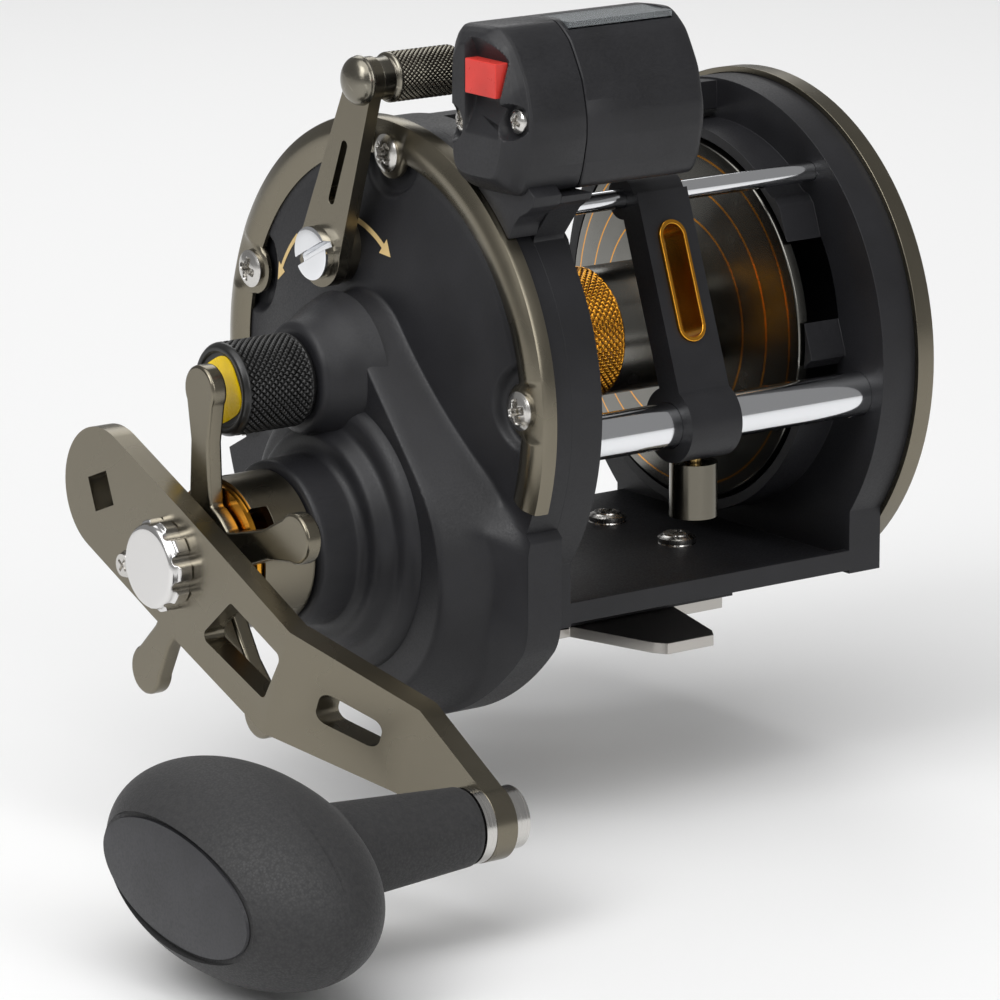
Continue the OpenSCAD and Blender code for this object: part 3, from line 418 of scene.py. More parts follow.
shaft_steel = polished("shaft_steel", (0.55, 0.55, 0.56), rough=0.2)
brass = polished("gear_brass", (0.72, 0.5, 0.2), rough=0.25)
nylon = grained_plastic("gear_nylon", (0.78, 0.78, 0.74), rough=0.4)
carbon = grained_plastic("drag_carbon", (0.03, 0.03, 0.03), rough=0.5, grain=0.8)
red = grained_plastic("red_button", (0.62, 0.045, 0.035), rough=0.33, grain=0.9, depth=0.004)
yellow = grained_plastic("yellow_badge", (0.92, 0.62, 0.0), rough=0.3, grain=1.2, depth=0.002)
arrow_ink = grained_plastic("arrow_ink", (0.62, 0.45, 0.2), rough=0.5, grain=0.3, depth=0.004)
badge_grey = grained_plastic("badge_grey", (0.026, 0.026, 0.029), rough=0.4, grain=0.45, depth=0.006)
foam_black = foam()
spool_dark = spool_finish()
lens = Finish("window_clear", (0.75, 0.8, 0.83), rough=0.08, Transmission_Weight=0.85, IOR=1.45).material

NODE_FINISH = {
    "frame": plastic, "right_side_plate": plastic, "left_side_plate": plastic, "line_guide": plastic,
    "click_button": plastic, "counter_housing": plastic_smooth, "counter_cap": plastic_smooth,
    "right_plate_ring": gunmetal, "left_plate_ring": gunmetal, "pawl_cap": gunmetal_dark,
    "crank_arm": gunmetal, "star_wheel": gunmetal, "star_sleeve": gunmetal, "lever_arm": gunmetal,
    "lever_grip": grip_knurl, "spool_band": gold_knurl, "guide_eye": gold, "drag_spacer": gold,
    "tension_knob": black_knurl, "guide_bar": chrome, "worm_tube": chrome, "lever_screw": chrome,
    "knob_stud": steel, "ring_screws": steel, "foot_screws": steel, "counter_screws": steel,
    "nut_lock_screw": steel, "handle_nut": nut_steel, "reel_foot": foot_steel, "main_shaft": shaft_steel,
    "spool_shaft": shaft_steel, "bridge_plate": shaft_steel, "roller_clutch": shaft_steel,
    "yoke_springs": shaft_steel, "spool_bearings": shaft_steel, "counter_spindle": shaft_steel,
    "drag_plates": shaft_steel, "ratchet_wheel": shaft_steel, "ratchet_dog": shaft_steel,
    "click_wheel": shaft_steel, "yoke": shaft_steel, "worm_shaft": shaft_steel, "lever_cam": shaft_steel,
    "main_gear": brass, "pinion": brass, "spool_gear": brass, "worm_gear": brass, "worm_bushings": brass,
    "pawl": brass, "idler_gear": nylon, "counter_gear_lower": nylon, "counter_gear_upper": nylon,
    "drag_discs": carbon, "spool": spool_dark, "knob": foam_black, "reset_button": red,
    "counter_window": lens, "units_wheel": nylon, "tens_wheel": nylon, "hundreds_wheel": nylon,
}
for node_name, finish in NODE_FINISH.items():
    target = frame["nodes"][node_name].data
    target.materials.clear()
    target.materials.append(finish)

# CAD shapes that are right: copies with rounded edges stand for them
EASED = {
    "crank_arm": 0.5, "star_wheel": 0.6, "left_plate_ring": 0.8,
    "frame": 0.6, "left_side_plate": 0.4, "line_guide": 1.1, "reel_foot": 0.3,
    "reset_button": 0.5, "guide_eye": 0.2, "star_sleeve": 0.25, "click_button": 0.4, "lever_arm": 0.35,
}
for node_name, width in EASED.items():
    dress(eased_copy(node_name, width), NODE_FINISH[node_name], node_name)


# ---------------------------------------------------------------- handle-side housing
def rise(value, start, end):
    """Smooth step from 0 at start to 1 at end."""
    t = np.clip((value - start) / (end - start), 0, 1)
    return t * t * (3 - 2 * t)


def from_dot(y, z, centre):
    """Distance from a centre."""
    return np.hypot(y - centre[0], z - centre[1])


def from_capsule(y, z, a, ra, b, rb):
    """Distance outside the outline drawn round two circles of unequal radius: the nearer circle past
    either end, and the straight tangent between them."""
    reach = np.hypot(*(b - a))
    u = (b - a) / reach
    along = (y - a[0]) * u[0] + (z - a[1]) * u[1]
    across = np.abs((y - a[0]) * u[1] - (z - a[1]) * u[0])
    slope = (ra - rb) / reach
    flat = math.sqrt(1 - slope ** 2)
    k = flat * along - slope * across
    tangent = flat * across + slope * along - ra
    return np.where(k < 0, np.hypot(along, across) - ra,
                    np.where(k > flat * reach, np.hypot(along - reach, across) - rb, tangent))


def blend_max(a, b, soft):
    """Larger of two heights with the valley between them filled over soft."""
    h = np.clip(0.5 + 0.5 * (a - b) / soft, 0, 1)
    return b + (a - b) * h + soft * h * (1 - h)


def blend_min(a, b, soft):
    """Smaller of two values with the corner between them rounded off over soft."""
    return -blend_max(-a, -b, soft)


def near_side(off, centre_r, radius, missed):
    """How far out a ray meets the near side of a round whose centre stands at centre_r and angle off;
    missed where it does not."""
    inside = radius ** 2 - (centre_r * np.sin(off)) ** 2
    hit = (inside > 0) & (np.cos(off) > 0)
    return np.where(hit, centre_r * np.cos(off) - np.sqrt(np.maximum(inside, 0)), missed)


def outline_radius(angle):
    """Distance from the plate's centre to its outline: the rim circle, and below it a larger circle
    cut by an upright front and a level top."""
    c, s = np.cos(angle), np.sin(angle)
    dot = c * LOW_MIDDLE[0] + s * LOW_MIDDLE[1]
    low = dot + np.sqrt(dot ** 2 - LOW_MIDDLE @ LOW_MIDDLE + LOW_R ** 2)
    low = blend_min(low, np.where(c < -0.05, LOW_FRONT / np.maximum(-c, 0.05), 1e9), 3.0)
    return np.maximum(RIM_R, np.where(s * low < LOW_TOP, low, 0))


def housing_height(y, z):
    """How far the housing stands out of the rim plane: a low dome, a shoulder that climbs in from the lower
    rim, and a slope up to the flat round the drum and the tension boss. Share f runs across the slope."""
    lower = MAIN + np.array([-6.0, -3.5])
    dome = 5.0 * np.maximum(1 - (from_dot(y, z, PLATE) / 38.0) ** 2, 0)
    side = np.maximum((y + 10) * -0.407 + (z - PLATE[1] + 3) * 0.913,
                      (y - 12) * 0.788 + (z - PLATE[1] - 3) * 0.616)
    gap = blend_min(LOW_R - from_dot(y, z, PLATE + LOW_MIDDLE), LOW_FRONT + y, 4.0)
    shoulder = (1.0 + 6.2 * rise(gap, -1.0, 13.0)) * rise(-side, -0.6, 5.0)
    hull = np.minimum(from_capsule(y, z, SPOOL, 14.8, lower, 28.0), 0)
    crest = np.maximum(blend_min(from_capsule(y, z, SPOOL, 9.4, MAIN, 23.4),
                                 from_capsule(y, z, SPOOL, 9.0, lower, 22.5), 6.0), 0)
    f = crest / np.maximum(crest - hull, 1e-6)
    slope = (FLAT_HEIGHT + 2.0) * (1 - f) - 1.5 * f
    body = blend_min(blend_max(blend_max(shoulder, slope, 2.6), dome, 1.2), FLAT_HEIGHT, 1.6)
    body = body + 5.2 * rise(10.2 - from_dot(y, z, SPOOL), 0.0, 1.6)
    for angle in RING_SCREWS:
        body = body - 1.5 * rise(7.2 - from_dot(y, z, on_circle(PLATE, SCREW_R, angle)), -0.6, 0.6)
    return body


def housing():
    """Heights over a disc of points: along each ray from the centre to the outline."""
    rays, rings = 560, 150
    angle = np.linspace(0, 2 * np.pi, rays, endpoint=False)
    reach = outline_radius(angle)
    share = np.linspace(0, 1, rings) ** 0.85
    y = PLATE[0] + np.outer(share, reach * np.cos(angle))
    z = PLATE[1] + np.outer(share, reach * np.sin(angle))
    height = housing_height(y, z)
    front = np.stack([PLATE_FACE - height, y, z], axis=-1)
    rim_x = front[-1, :, 0]
    walls = [np.stack([rim_x + (RIM_BACK - rim_x) * depth, y[-1], z[-1]], axis=-1)
             for depth in (0.08, 0.5, 1.0)]
    inner = np.linspace(1, 0, 40)
    keep = 1 - 1.4 / reach
    back_y = PLATE[0] + np.outer(inner, keep * reach * np.cos(angle))
    back_z = PLATE[1] + np.outer(inner, keep * reach * np.sin(angle))
    back_h = np.minimum(housing_height(back_y, back_z), 24.0) - 2.0
    back = np.stack([PLATE_FACE - back_h, back_y, back_z], axis=-1)
    lip = np.stack([np.full(rays, RIM_BACK), back_y[0], back_z[0]], axis=-1)
    return surface("gear_housing", np.concatenate([front, np.array(walls), lip[None], back]),
                   wrap_v=True, crease=50)


dress(housing(), plastic, "right_side_plate")


def moulded_ring():
    """C-shaped ring: across its width the face swells to a soft crest, and along it the inner edge swings
    in round each screw. Both ends close to their own middle."""
    a = np.radians(np.linspace(-22, 199, 420))
    inner = np.full_like(a, RING_R - RING_WIDTH)
    for screw in np.radians(RING_SCREWS):
        inner = blend_min(inner, near_side(a - screw, SCREW_R, 4.5, RING_R), 2.2)
    lift = np.array([0.95, 0.3, 0.0, -0.35, -0.62, -0.72, -0.62, -0.3, 0.1, 0.35, 0.9, 3.0, 3.0, 0.95])
    share = np.array([0.0, 0.01, 0.09, 0.24, 0.4, 0.52, 0.64, 0.78, 0.9, 0.97, 1.0, 1.0, 0.97, 0.9])
    r = inner[:, None] + (RING_R - inner)[:, None] * share
    r[:, -1] = RING_R - 0.8
    lobes = np.clip((RING_R - RING_WIDTH - inner) / 4, 0, 1)[:, None]
    x = FACE_R + np.where(lift < 0, lift * (1 - lobes), lift)
    y = PLATE[0] + r * np.cos(a)[:, None]
    z = PLATE[1] + r * np.sin(a)[:, None]
    points = np.stack([x, y, z], axis=-1)
    ends = [0 * points[k] + points[k].mean(axis=0) for k in (0, -1)]
    return np.concatenate([ends[:1], points, ends[1:]])


dress(surface("handle_side_ring", moulded_ring(), wrap_v=True, crease=40), gunmetal, "right_plate_ring")

# Turned bosses that stand on the housing: drum, step and collar round the main shaft, and the
# tension boss round the spool spindle
BOSS = PLATE_FACE - 12.0
main_boss = soft_profile([(BOSS + 3, 25.0), (BOSS - 1.2, 23.6), (BOSS - 2.4, 22.0), (BOSS - 2.6, 19.6),
                          (BOSS - 5.4, 18.0), (BOSS - 5.6, 15.6), (BOSS - 6.4, 14.6), (BOSS - 14.0, 14.4),
                          (BOSS - 14.0, 9.8), (BOSS - 3.0, 9.6), (BOSS - 3.0, 4.2)], 0.9)
dress(lathe("main_boss", fill(main_boss, 0.8), MAIN, 160), plastic, "right_side_plate")
spool_boss = soft_profile([(BOSS + 3, 13.7), (BOSS - 0.6, 12.3), (BOSS - 3.4, 10.7), (BOSS - 6.4, 9.5),
                           (BOSS - 7.0, 8.6), (BOSS - 7.0, 6.2), (BOSS - 12.0, 6.1),
                           (BOSS - 12.0, 3.2)], 0.9)
dress(lathe("spool_boss", fill(spool_boss, 0.8), SPOOL, 128), plastic, "right_side_plate")


# ---------------------------------------------------------------- handle knob
def knob_surface():
    """One polar grid about the stud axis: a flat oval badge with a raised lip, the handle-side half of an
    ellipsoid, and its other half blended into the tapering neck. Angle p runs round the stud."""
    low, high = box_mm("knob")
    middle = np.array([low[0] + 17.3 + 0.4, STUD[0], STUD[1]])
    long, thick, deep = 29.3, 16.2, 17.3
    p = np.linspace(0, 2 * np.pi, 160, endpoint=False)
    badge_x = -13.2
    rows = []

    def oval(a, b, x):
        """Adds a row: half lengths a and b, at x along the stud."""
        along = np.full_like(p, x) if np.isscalar(x) else x
        rows.append(np.stack([along, a * np.cos(p), b * np.sin(p)], -1))

    for t in np.linspace(0, 1, 16):
        oval(20.0 * t, 9.0 * t, badge_x - 0.55 * (1 - t ** 2.5))
    for t in (1.0, 0.0):
        oval(20.1 * t, 9.1 * t, badge_x + 0.5)
    oval(0.0, 0.0, badge_x + 0.7)
    oval(20.1, 9.1, badge_x + 0.7)
    oval(20.2, 9.2, badge_x + 0.75)
    oval(20.9, 9.9, badge_x + 0.75)
    for t in np.linspace(0, 1, 30):
        a = 21.0 + (long - 21.0) * math.sin(t * math.pi / 2)
        b = 10.0 + (thick - 10.0) * math.sin(t * math.pi / 2)
        fade = 1 - (a / long * np.cos(p)) ** 2 - (b / thick * np.sin(p)) ** 2
        oval(a, b, -deep * np.sqrt(np.maximum(fade, 0)))
    reach = high[0] - middle[0]
    neck_start, neck_end = 9.2, 6.5
    for x in np.concatenate([np.linspace(0.6, 17.0, 30), np.linspace(17.6, reach - 0.6, 30)]):
        shrink = math.sqrt(max(0.0, 1 - (x / deep) ** 2))
        r = 1 / np.sqrt((np.cos(p) / long) ** 2 + (np.sin(p) / thick) ** 2) * shrink
        neck = neck_start + (neck_end - neck_start) * x / reach + 0 * p
        r = blend_max(r, neck, 5.0)
        rows.append(np.stack([np.full_like(p, x), r * np.cos(p), r * np.sin(p)], -1))
    oval(6.2, 6.2, reach)
    oval(2.7, 2.7, reach)
    oval(2.7, 2.7, reach - 6)
    points = np.array(rows)
    turn = math.radians(KNOB_TILT)
    y = points[..., 1] * math.cos(turn) - points[..., 2] * math.sin(turn)
    z = points[..., 1] * math.sin(turn) + points[..., 2] * math.cos(turn)
    return np.stack([points[..., 0] + middle[0], y + middle[1], z + middle[2]], -1)


KNOB_TILT = 8.0
BADGE_ROWS = 18
knob_rows = knob_surface()
dress(surface("knob_badge", knob_rows[:BADGE_ROWS], wrap_v=True, crease=42), badge_grey, "knob")
dress(surface("knob_grip", knob_rows[BADGE_ROWS:], wrap_v=True, crease=42), foam_black, "knob")


# ---------------------------------------------------------------- turned and knurled pieces
def diamonds(teeth, lead, depth, start, end):
    """Knurl: two families of grooves wind opposite ways, and the metal between them is proud.
    It fades out before start and after end."""
    def relief(x, a, r):
        """Depth below the full radius at x and angle a."""
        one = np.abs(np.sin((teeth * a + lead * x) / 2))
        two = np.abs(np.sin((teeth * a - lead * x) / 2))
        fade = rise(x, start, start + 0.3) * rise(-x, -end, -end + 0.3)
        return -depth * (1 - np.minimum(np.minimum(one, two) * 1.5, 1.0)) * fade
    return relief


def knurled_rod(name, corners, axis, teeth, lead, depth, start, end, steps, gap=0.16, round_to=0.35):
    """Turned piece with a knurl from start to end, where its profile has points every gap."""
    profile = soft_profile(corners, round_to)
    dense = [profile[0]]
    for p, q in zip(profile[:-1], profile[1:]):
        inside = min(p[0], q[0]) < end and max(p[0], q[0]) > start
        n = max(1, int(math.ceil(np.linalg.norm(q - p) / (gap if inside else 0.7))))
        dense.extend(p + (q - p) * (k + 1) / n for k in range(n))
    return lathe(name, dense, axis, steps, relief=diamonds(teeth, lead, depth, start, end), crease=60)


low, high = box_mm("tension_knob")
corners = [(low[0] + 0.5, 0), (low[0] + 0.5, 6.3), (low[0], 6.6), (low[0], 7.4), (low[0] + 0.8, 8.0),
           (high[0] - 0.8, 8.0), (high[0], 7.4), (high[0], 6.3), (high[0] - 6, 6.3)]
dress(knurled_rod("tension_grip", corners, SPOOL, 40, 5.0, 0.42, low[0] + 1.1, high[0] - 1.0, 480),
      black_knurl, "tension_knob")

low, high = box_mm("spool_band")
corners = [(low[0], 10.4), (low[0], 11.3), (low[0] + 0.4, 11.65), (high[0] - 0.4, 11.65), (high[0], 11.3),
           (high[0], 10.4)]
dress(knurled_rod("arbor_grip", corners, SPOOL, 52, 5.0, 0.3, low[0] + 0.5, high[0] - 0.5, 520),
      gold_knurl, "spool_band")

low, high = box_mm("lever_grip")
GRIP = on_circle(LEVER, 33.6, 111.5)
ARM_FACE = box_mm("lever_arm")[0][0]
dome = [(low[0] + 2.4 * (1 - math.cos(t)), 4.2 * math.sin(t)) for t in np.linspace(0, math.pi / 2, 9)]
corners = dome + [(low[0] + 2.7, 4.3), (low[0] + 3.1, 4.1), (low[0] + 3.15, 2.6), (ARM_FACE + 2.4, 2.6),
                  (ARM_FACE + 2.5, 3.6), (ARM_FACE + 5.2, 3.6), (ARM_FACE + 5.6, 4.3), (high[0] - 0.8, 4.3),
                  (high[0], 3.6), (high[0], 0)]
dress(knurled_rod("lever_knurl", corners, GRIP, 30, 6.6, 0.38, ARM_FACE + 5.9, high[0] - 0.6, 360,
                  round_to=0.3), grip_knurl, "lever_grip")

low, high = box_mm("spool")
flange = (high[2] - low[2]) / 2
spool_profile = soft_profile([
    (low[0], 3.2), (low[0], 5.5), (low[0] + 4.4, 5.5), (low[0] + 4.4, flange - 2.2),
    (low[0] + 3.4, flange - 2), (low[0] + 3.4, flange), (low[0] + 5.6, flange), (low[0] + 9.4, 12.4),
    (low[0] + 10.4, 11.4), (high[0] - 10.4, 11.4), (high[0] - 9.4, 12.4), (high[0] - 5.6, flange),
    (high[0] - 3.4, flange), (high[0] - 3.4, flange - 2), (high[0] - 4.4, flange - 2.2),
    (high[0] - 4.4, 5.5), (high[0], 5.5), (high[0], 3.2)], 0.35)
dress(lathe("spool_body", fill(spool_profile, 3.0), SPOOL, 192, closed=True), spool_dark, "spool")


def scallops(x, a, r):
    """Ten scoops in the rim of the nut, cut by rounds whose centres stand outside it."""
    step = math.radians(36)
    off = (a - step / 2) / step
    off = (off - np.round(off)) * step
    return np.minimum(r, near_side(off, 8.7, 1.7, 99.0)) - r


low, high = box_mm("handle_nut")
corners = [(low[0], 0), (low[0], 6.5), (low[0] + 0.5, 7.1), (low[0] + 1.3, 7.3), (low[0] + 1.5, 7.8),
           (high[0] - 0.2, 7.8), (high[0] - 0.02, 7.5), (high[0] - 0.02, 4.3)]
nut = fill(soft_profile(corners, 0.3), 0.7)
dress(lathe("scalloped_nut", nut, MAIN, 320, relief=scallops, crease=45), nut_steel, "handle_nut")


# ---------------------------------------------------------------- screw heads
def head_points(centre, face, outward, radius, height, slot_turn, cross=True, rows=26, steps=96):
    """Domed head: its height falls with a power of the radius, and a cross or one slot is sunk in it."""
    t = np.concatenate([np.linspace(0, 0.97, rows), [1.0, 1.0, 0.93]])
    a = np.linspace(0, 2 * np.pi, steps, endpoint=False)
    r = radius * t
    y, z = np.outer(r, np.cos(a)), np.outer(r, np.sin(a))
    turn = math.radians(slot_turn)
    u = y * math.cos(turn) + z * math.sin(turn)
    v = -y * math.sin(turn) + z * math.cos(turn)
    drop, power = (0.55, 2.6) if cross else (0.12, 6)
    top = height * (1 - drop * t[:, None] ** power) + 0 * y
    width = radius * 0.13
    if cross:
        near = np.minimum(np.abs(u), np.abs(v))
        reach = rise(-np.hypot(y, z), -radius * 0.66, -radius * 0.5)
        cut = rise(-near, -width * 1.7, -width * 0.9) * reach * height * 0.95
    else:
        cut = rise(-np.abs(v), -width * 1.3, -width * 0.8) * height * 0.8
    top = top - cut
    top[-2:, :] = [[0.12 * height], [-0.4]]
    x = face + outward * top
    return np.stack([x, centre[0] + y, centre[1] + z], axis=-1)


def heads(name, places, **shape):
    """Several screw heads as one piece."""
    grids = [head_points(*place, **shape) for place in places]
    nu, nv = grids[0].shape[:2]
    faces = grid_faces(nu, nv, wrap_v=True)
    mesh = bpy.data.meshes.new(name)
    points = np.concatenate([g.reshape(-1, 3) for g in grids])
    mesh.from_pydata((points * MM).tolist(), [],
                     np.concatenate([faces + i * nu * nv for i in range(len(grids))]).tolist())
    settle(mesh, 38)
    return link(name, mesh)


ring_places = [(on_circle(PLATE, SCREW_R, a), FACE_R, -1, 3.3, 1.6, turn)
               for a, turn in zip(RING_SCREWS, (40, 15, 75))]
ring_places += [(on_circle(PLATE, SCREW_R, a), RING_HIGH[0], 1, 3.3, 1.6, a * 0.7)
                for a in (45, 135, 225, 315)]
dress(heads("ring_screw_heads", ring_places), steel, "ring_screws")
pivot = (LEVER, ARM_FACE, -1, 4.6, ARM_FACE - box_mm("lever_screw")[0][0], 153)
dress(heads("pivot_screw_head", [pivot], cross=False, rows=60, steps=240), chrome, "lever_screw")


def upright_heads(name, places, face, radius, height):
    """Cross heads that look up: the same domes, turned from the X axis to the Z axis."""
    piece = heads(name, [(place, face, 1, radius, height, 20 + 37 * i) for i, place in enumerate(places)])
    flat = np.empty(len(piece.data.vertices) * 3)
    piece.data.vertices.foreach_get("co", flat)
    piece.data.vertices.foreach_set("co", np.roll(flat.reshape(-1, 3), -1, axis=1).ravel())
    settle(piece.data, 38)
    return piece


low, high = box_mm("foot_screws")
side_x, side_y = high[0] - 3.4, high[1] - 3.4
foot_places = [(x, y) for x in (-side_x, side_x) for y in (-side_y, side_y)]
dress(upright_heads("foot_screw_heads", foot_places, high[2] - 1.5, 3.4, 1.7), steel, "foot_screws",
      hides=False)


# ---------------------------------------------------------------- line counter
CAP_A = box_mm("counter_cap")[0][0]
COUNTER_TOP = box_mm("counter_cap")[1][2]
SEAM = box_mm("counter_housing")[0][0]
CNT_B = box_mm("counter_housing")[1][0]
DIAL = axis_of("units_spin")
BUTTON = sum(box_mm("reset_button"))[1:] / 2


def counter_loop(inset, count=400):
    """Side outline of the counter box, drawn in by inset, its corners cut three times and evenly spaced."""
    f, b = -42.45 + inset, -21.95 - inset
    low, top = 85.0 + inset, 113.0 - inset
    p = np.array([(b, low), (b, top - 3), (b - 2, top - 0.6), (f + 9, top), (f + 5, top - 3),
                  (f + 1.6, top - 9), (f + 0.2, top - 15), (f + 0.2, low + 9), (f + 1.4, low + 3.5),
                  (f + 3, low)])
    for cut in (0.14, 0.25, 0.25):
        q = np.roll(p, -1, axis=0)
        p = np.stack([p + (q - p) * cut, q + (p - q) * cut], axis=1).reshape(-1, 2)
    closed = np.vstack([p, p[:1]])
    run = np.concatenate([[0], np.cumsum(np.hypot(*np.diff(closed, axis=0).T))])
    at = np.linspace(0, run[-1], count, endpoint=False)
    return np.stack([np.interp(at, run, closed[:, 0]), np.interp(at, run, closed[:, 1])], axis=-1)


def clear_of_ring(y, z):
    """Points inside the side plate's rim are pushed straight out to it."""
    push = np.maximum(1, (RING_R + 0.25) / np.maximum(from_dot(y, z, PLATE), 1e-6))
    return PLATE[0] + (y - PLATE[0]) * push, PLATE[1] + (z - PLATE[1]) * push


CAP_SCREWS = [np.array([-39.75, 98.0]), np.array([-24.65, 96.0])]


def recess(y, z):
    """Depth of the cap's face: a channel that deepens from above and below towards the button, and a
    round pocket for each screw."""
    dy, dz = np.abs(y - BUTTON[0] + 0.2), z - BUTTON[1] - 0.2
    ramp = np.where(dz > 0, rise(-dz, -9.0, -3.0) ** 0.8, rise(dz, -9.5, -3.0) ** 0.8)
    depth = 2.3 * ramp * rise(-dy, -4.75, -4.35)
    for place in CAP_SCREWS:
        depth = np.maximum(depth, 3.1 * rise(-from_dot(y, z, place), -3.3, -2.5))
    return depth


def loft(rows):
    """Loops of the counter outline, one for each (x, inset)."""
    points = []
    for x, inset in rows:
        loop = counter_loop(inset)
        y, z = clear_of_ring(loop[:, 0], loop[:, 1])
        points.append(np.stack([np.full(len(y), x), y, z], axis=-1))
    return points


face_edge = [(0.0, 3.1), (0.2, 2.75), (0.9, 2.0), (1.7, 1.2), (2.6, 0.5), (3.3, 0.12), (4.0, 0.0)]
front_rows = [tuple(row) for row in fill(np.array([(CAP_A + x, inset) for x, inset in face_edge]), 0.22)]
front_rows += [(CAP_A + 8.0, 0.0), (SEAM - 0.35, 0.0), (SEAM - 0.12, 0.12), (SEAM - 0.02, 0.4)]
wall = loft(front_rows)
hub = wall[0].mean(axis=0)
face = [hub + (wall[0] - hub) * t for t in np.linspace(0, 1, 80)[:-1]]
cap_points = np.array(face + wall + [hub * [0, 1, 1] + [SEAM - 0.02, 0, 0] + 0 * wall[-1]])
cap_points[..., 0] = np.maximum(cap_points[..., 0], CAP_A + recess(cap_points[..., 1], cap_points[..., 2]))
dress(surface("counter_front", cap_points, wrap_v=True, crease=32), plastic_smooth, "counter_cap")

back_rows = [(SEAM + x, w) for x, w in ((0.02, 0.4), (0.12, 0.12), (0.35, 0.0), (8.0, 0.0))]
back_rows += [(CNT_B - x, w) for x, w in ((6.0, 0.0), (1.6, 0.0), (0.9, 0.1), (0.35, 0.4), (0.08, 0.95),
                                           (0.0, 1.7))]
wall = loft(back_rows)
start = wall[0].mean(axis=0) + 0 * wall[0]
end = wall[-1].mean(axis=0) + 0 * wall[-1]
counter_box = surface("counter_box", np.array([start] + wall + [end]), wrap_v=True, crease=32)
win_low, win_high = box_mm("counter_window")
corner = np.array([(x, y, z) for x in (win_low[0], win_high[0]) for y in (win_low[1], win_high[1])
                   for z in (DIAL[1] - 6, COUNTER_TOP + 6)]) * MM
cutter_mesh = bpy.data.meshes.new("window_cutter")
cutter_mesh.from_pydata(corner.tolist(), [], [(0, 1, 3, 2), (4, 6, 7, 5), (0, 4, 5, 1), (2, 3, 7, 6),
                                              (0, 2, 6, 4), (1, 5, 7, 3)])
settle(cutter_mesh)
cutter = link("window_cutter", cutter_mesh)
cut = counter_box.modifiers.new("window", "BOOLEAN")
cut.operation, cut.solver, cut.object = "DIFFERENCE", "EXACT", cutter
keep_result(counter_box).set_sharp_from_angle(angle=math.radians(32))
bpy.data.objects.remove(cutter)
dress(counter_box, plastic_smooth, "counter_housing")
cap_places = [(place, CAP_A + 2.9, -1, 2.0, 1.1, turn) for place, turn in zip(CAP_SCREWS, (20, 60))]
dress(heads("cap_screw_heads", cap_places), steel, "counter_screws")


def slab(name, outline, x_front, x_back, ease):
    """Plate with the given side outline between two X planes, its edges eased."""
    outline = np.asarray(outline, float)
    n = len(outline)
    points = np.vstack([np.column_stack([np.full(n, x), outline]) for x in (x_front, x_back)]) * MM
    ring = np.arange(n)
    sides = np.stack([ring, (ring + 1) % n, (ring + 1) % n + n, ring + n], axis=-1).tolist()
    mesh = bpy.data.meshes.new(name)
    mesh.from_pydata(points.tolist(), [], sides + [ring[::-1].tolist(), (ring + n).tolist()])
    settle(mesh)
    piece = link(name, mesh)
    ease_edges(piece, ease, angle=50)
    return piece


# Neck between the rim and the counter: two curved flanks and the rim's own arc
front_flank = np.array([(-42.0, 85.4), (-41.6, 83.8), (-40.0, 82.6), (-38.0, 81.6), (-36.3, 79.9),
                        (-35.0, 77.4)])
rear_arc = [on_circle(PLATE, RING_R + 0.15, t) for t in np.linspace(138.2, 121, 12)]
neck = fill(np.vstack([front_flank, rear_arc, [(-22.6, 86.0), (-24, 87.5), (-40, 87.0)]]), 0.8)
dress(slab("counter_neck", neck, PLATE_FACE + 0.2, RIM_BACK, 0.6), plastic, "right_side_plate")


# ---------------------------------------------------------------- printed marks and badge
def arrow(name, bend, width=0.9, head=2.9):
    """Flat arrow along a quadratic curve through three points: a band, then a head three times as wide."""
    p, q, r = np.asarray(bend, float)
    t = np.linspace(0, 1, 24)[:, None]
    line = (1 - t) ** 2 * p + 2 * t * (1 - t) * q + t ** 2 * r
    way = np.gradient(line, axis=0)
    way /= np.hypot(*way.T)[:, None]
    side = np.stack([-way[:, 1], way[:, 0]], axis=-1)
    last = 19
    base, wing = line[last], side[last] * head * 0.52
    tip = base + way[last] * head
    edges = [np.vstack([line[:last + 1] + sign * side[:last + 1] * width / 2, base + sign * wing, tip])
             for sign in (1, -1)]
    points = np.stack(edges, axis=1)
    x = PLATE_FACE - 0.06 - housing_height(points[..., 0], points[..., 1])
    return surface(name, np.concatenate([x[..., None], points], axis=-1))


for label, bend in (("retrieve_arrow", [(6.6, 75.1), (-0.6, 74.2), (-5.4, 70.4)]),
                    ("release_arrow", [(23.6, 69.0), (27.4, 65.6), (29.2, 61.2)])):
    dress(arrow(label, bend), arrow_ink, "right_side_plate")


def shield(name, x, radius, rise_by):
    """Low badge whose outline is a rounded square, slightly higher in its middle."""
    t = np.array([0, 0.3, 0.6, 0.85, 0.96, 1.0, 1.0])
    a = np.linspace(0, 2 * np.pi, 96, endpoint=False)
    reach = radius * (np.abs(np.cos(a + 0.5)) ** 3.2 + np.abs(np.sin(a + 0.5)) ** 3.2) ** (-1 / 3.2) * 0.9
    y, z = SPOOL[0] + np.outer(t, reach * np.cos(a)), SPOOL[1] + np.outer(t, reach * np.sin(a))
    lift = rise_by * (1 - 0.5 * t ** 6)
    lift[-1] = -0.1
    return surface(name, np.stack([np.repeat((x - lift)[:, None], 96, axis=1), y, z], axis=-1), wrap_v=True)


badge_x = box_mm("tension_knob")[0][0] + 0.5
dress(shield("tension_badge", badge_x, 5.9, 0.3), yellow, "tension_knob")


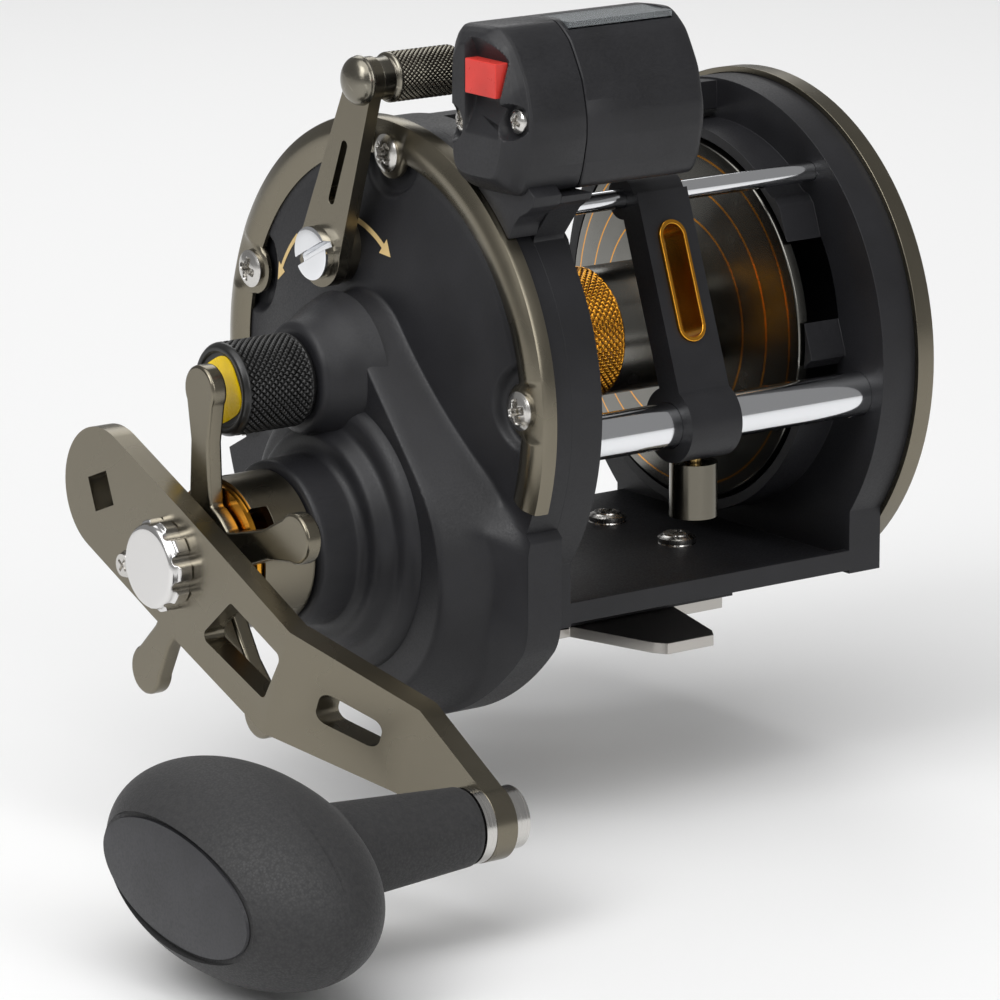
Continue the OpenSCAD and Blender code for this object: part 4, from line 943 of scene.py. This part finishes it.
# ---------------------------------------------------------------- floor, lights and camera
FLOOR_HALF = 5.0
FLOOR_GAP = 0.002
floor_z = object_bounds()[0][2] - FLOOR_GAP
floor_mesh = bpy.data.meshes.new("floor")
floor_corners = [(x * FLOOR_HALF, y * FLOOR_HALF, floor_z) for x, y in ((-1, -1), (1, -1), (1, 1), (-1, 1))]
floor_mesh.from_pydata(floor_corners, [], [(0, 1, 2, 3)])
floor = link("floor", floor_mesh)
floor.data.materials.append(Finish("floor_white", (0.86, 0.86, 0.86), rough=0.6).material)

world = bpy.data.worlds.new("studio")
bpy.context.scene.world = world
world.use_nodes = True
world.node_tree.nodes["Background"].inputs["Color"].default_value = (1.0, 1.0, 1.0, 1)
world.node_tree.nodes["Background"].inputs["Strength"].default_value = 0.26

MIDDLE = Vector((-0.042, -0.034, 0.033))
VIEW_AZIMUTH, VIEW_ELEVATION = -36.747, 13.618
VIEW_AIM, VIEW_DISTANCE = Vector((-0.0424, -0.0342, 0.0331)), 1.0496


def towards(azimuth, elevation):
    """Unit vector from the reel to a light or camera: azimuth 0 is the -Y side."""
    a, e = math.radians(azimuth), math.radians(elevation)
    return Vector((math.sin(a) * math.cos(e), -math.cos(a) * math.cos(e), math.sin(e)))


def panel(name, azimuth, elevation, distance, width, height, power):
    """Soft box that faces the reel: azimuth is measured as the camera's."""
    away = towards(azimuth, elevation)
    light = bpy.data.lights.new(name, "AREA")
    light.shape = "RECTANGLE"
    light.size, light.size_y = width, height
    light.energy = power
    lamp = link(name, light)
    lamp.location = MIDDLE + away * distance
    lamp.rotation_euler = away.to_track_quat("Z", "Y").to_euler()


def sky(name, azimuth, elevation, strength, spread):
    """Wide even light from one side of the sky, which keeps the floor pale everywhere."""
    light = bpy.data.lights.new(name, "SUN")
    light.energy = strength
    light.angle = math.radians(spread)
    lamp = link(name, light)
    lamp.rotation_euler = towards(azimuth, elevation).to_track_quat("Z", "Y").to_euler()


sky("sky", -60, 65, 2.0, 70)
panel("key", -80, 38, 0.9, 0.35, 0.6, 2.6)
panel("front", 0, 30, 0.9, 0.25, 0.6, 1.6)
panel("rear", 150, 40, 1.0, 0.5, 0.5, 1.5)

back = towards(VIEW_AZIMUTH, VIEW_ELEVATION)
lens_data = bpy.data.cameras.new("camera")
lens_data.lens = 226.4
lens_data.sensor_width = 36.0
lens_data.clip_start = 0.05
camera = link("camera", lens_data)
camera.location = VIEW_AIM + back * VIEW_DISTANCE
camera.rotation_euler = back.to_track_quat("Z", "Y").to_euler()
bpy.context.scene.camera = camera
bpy.context.scene.view_settings.view_transform = "Standard"
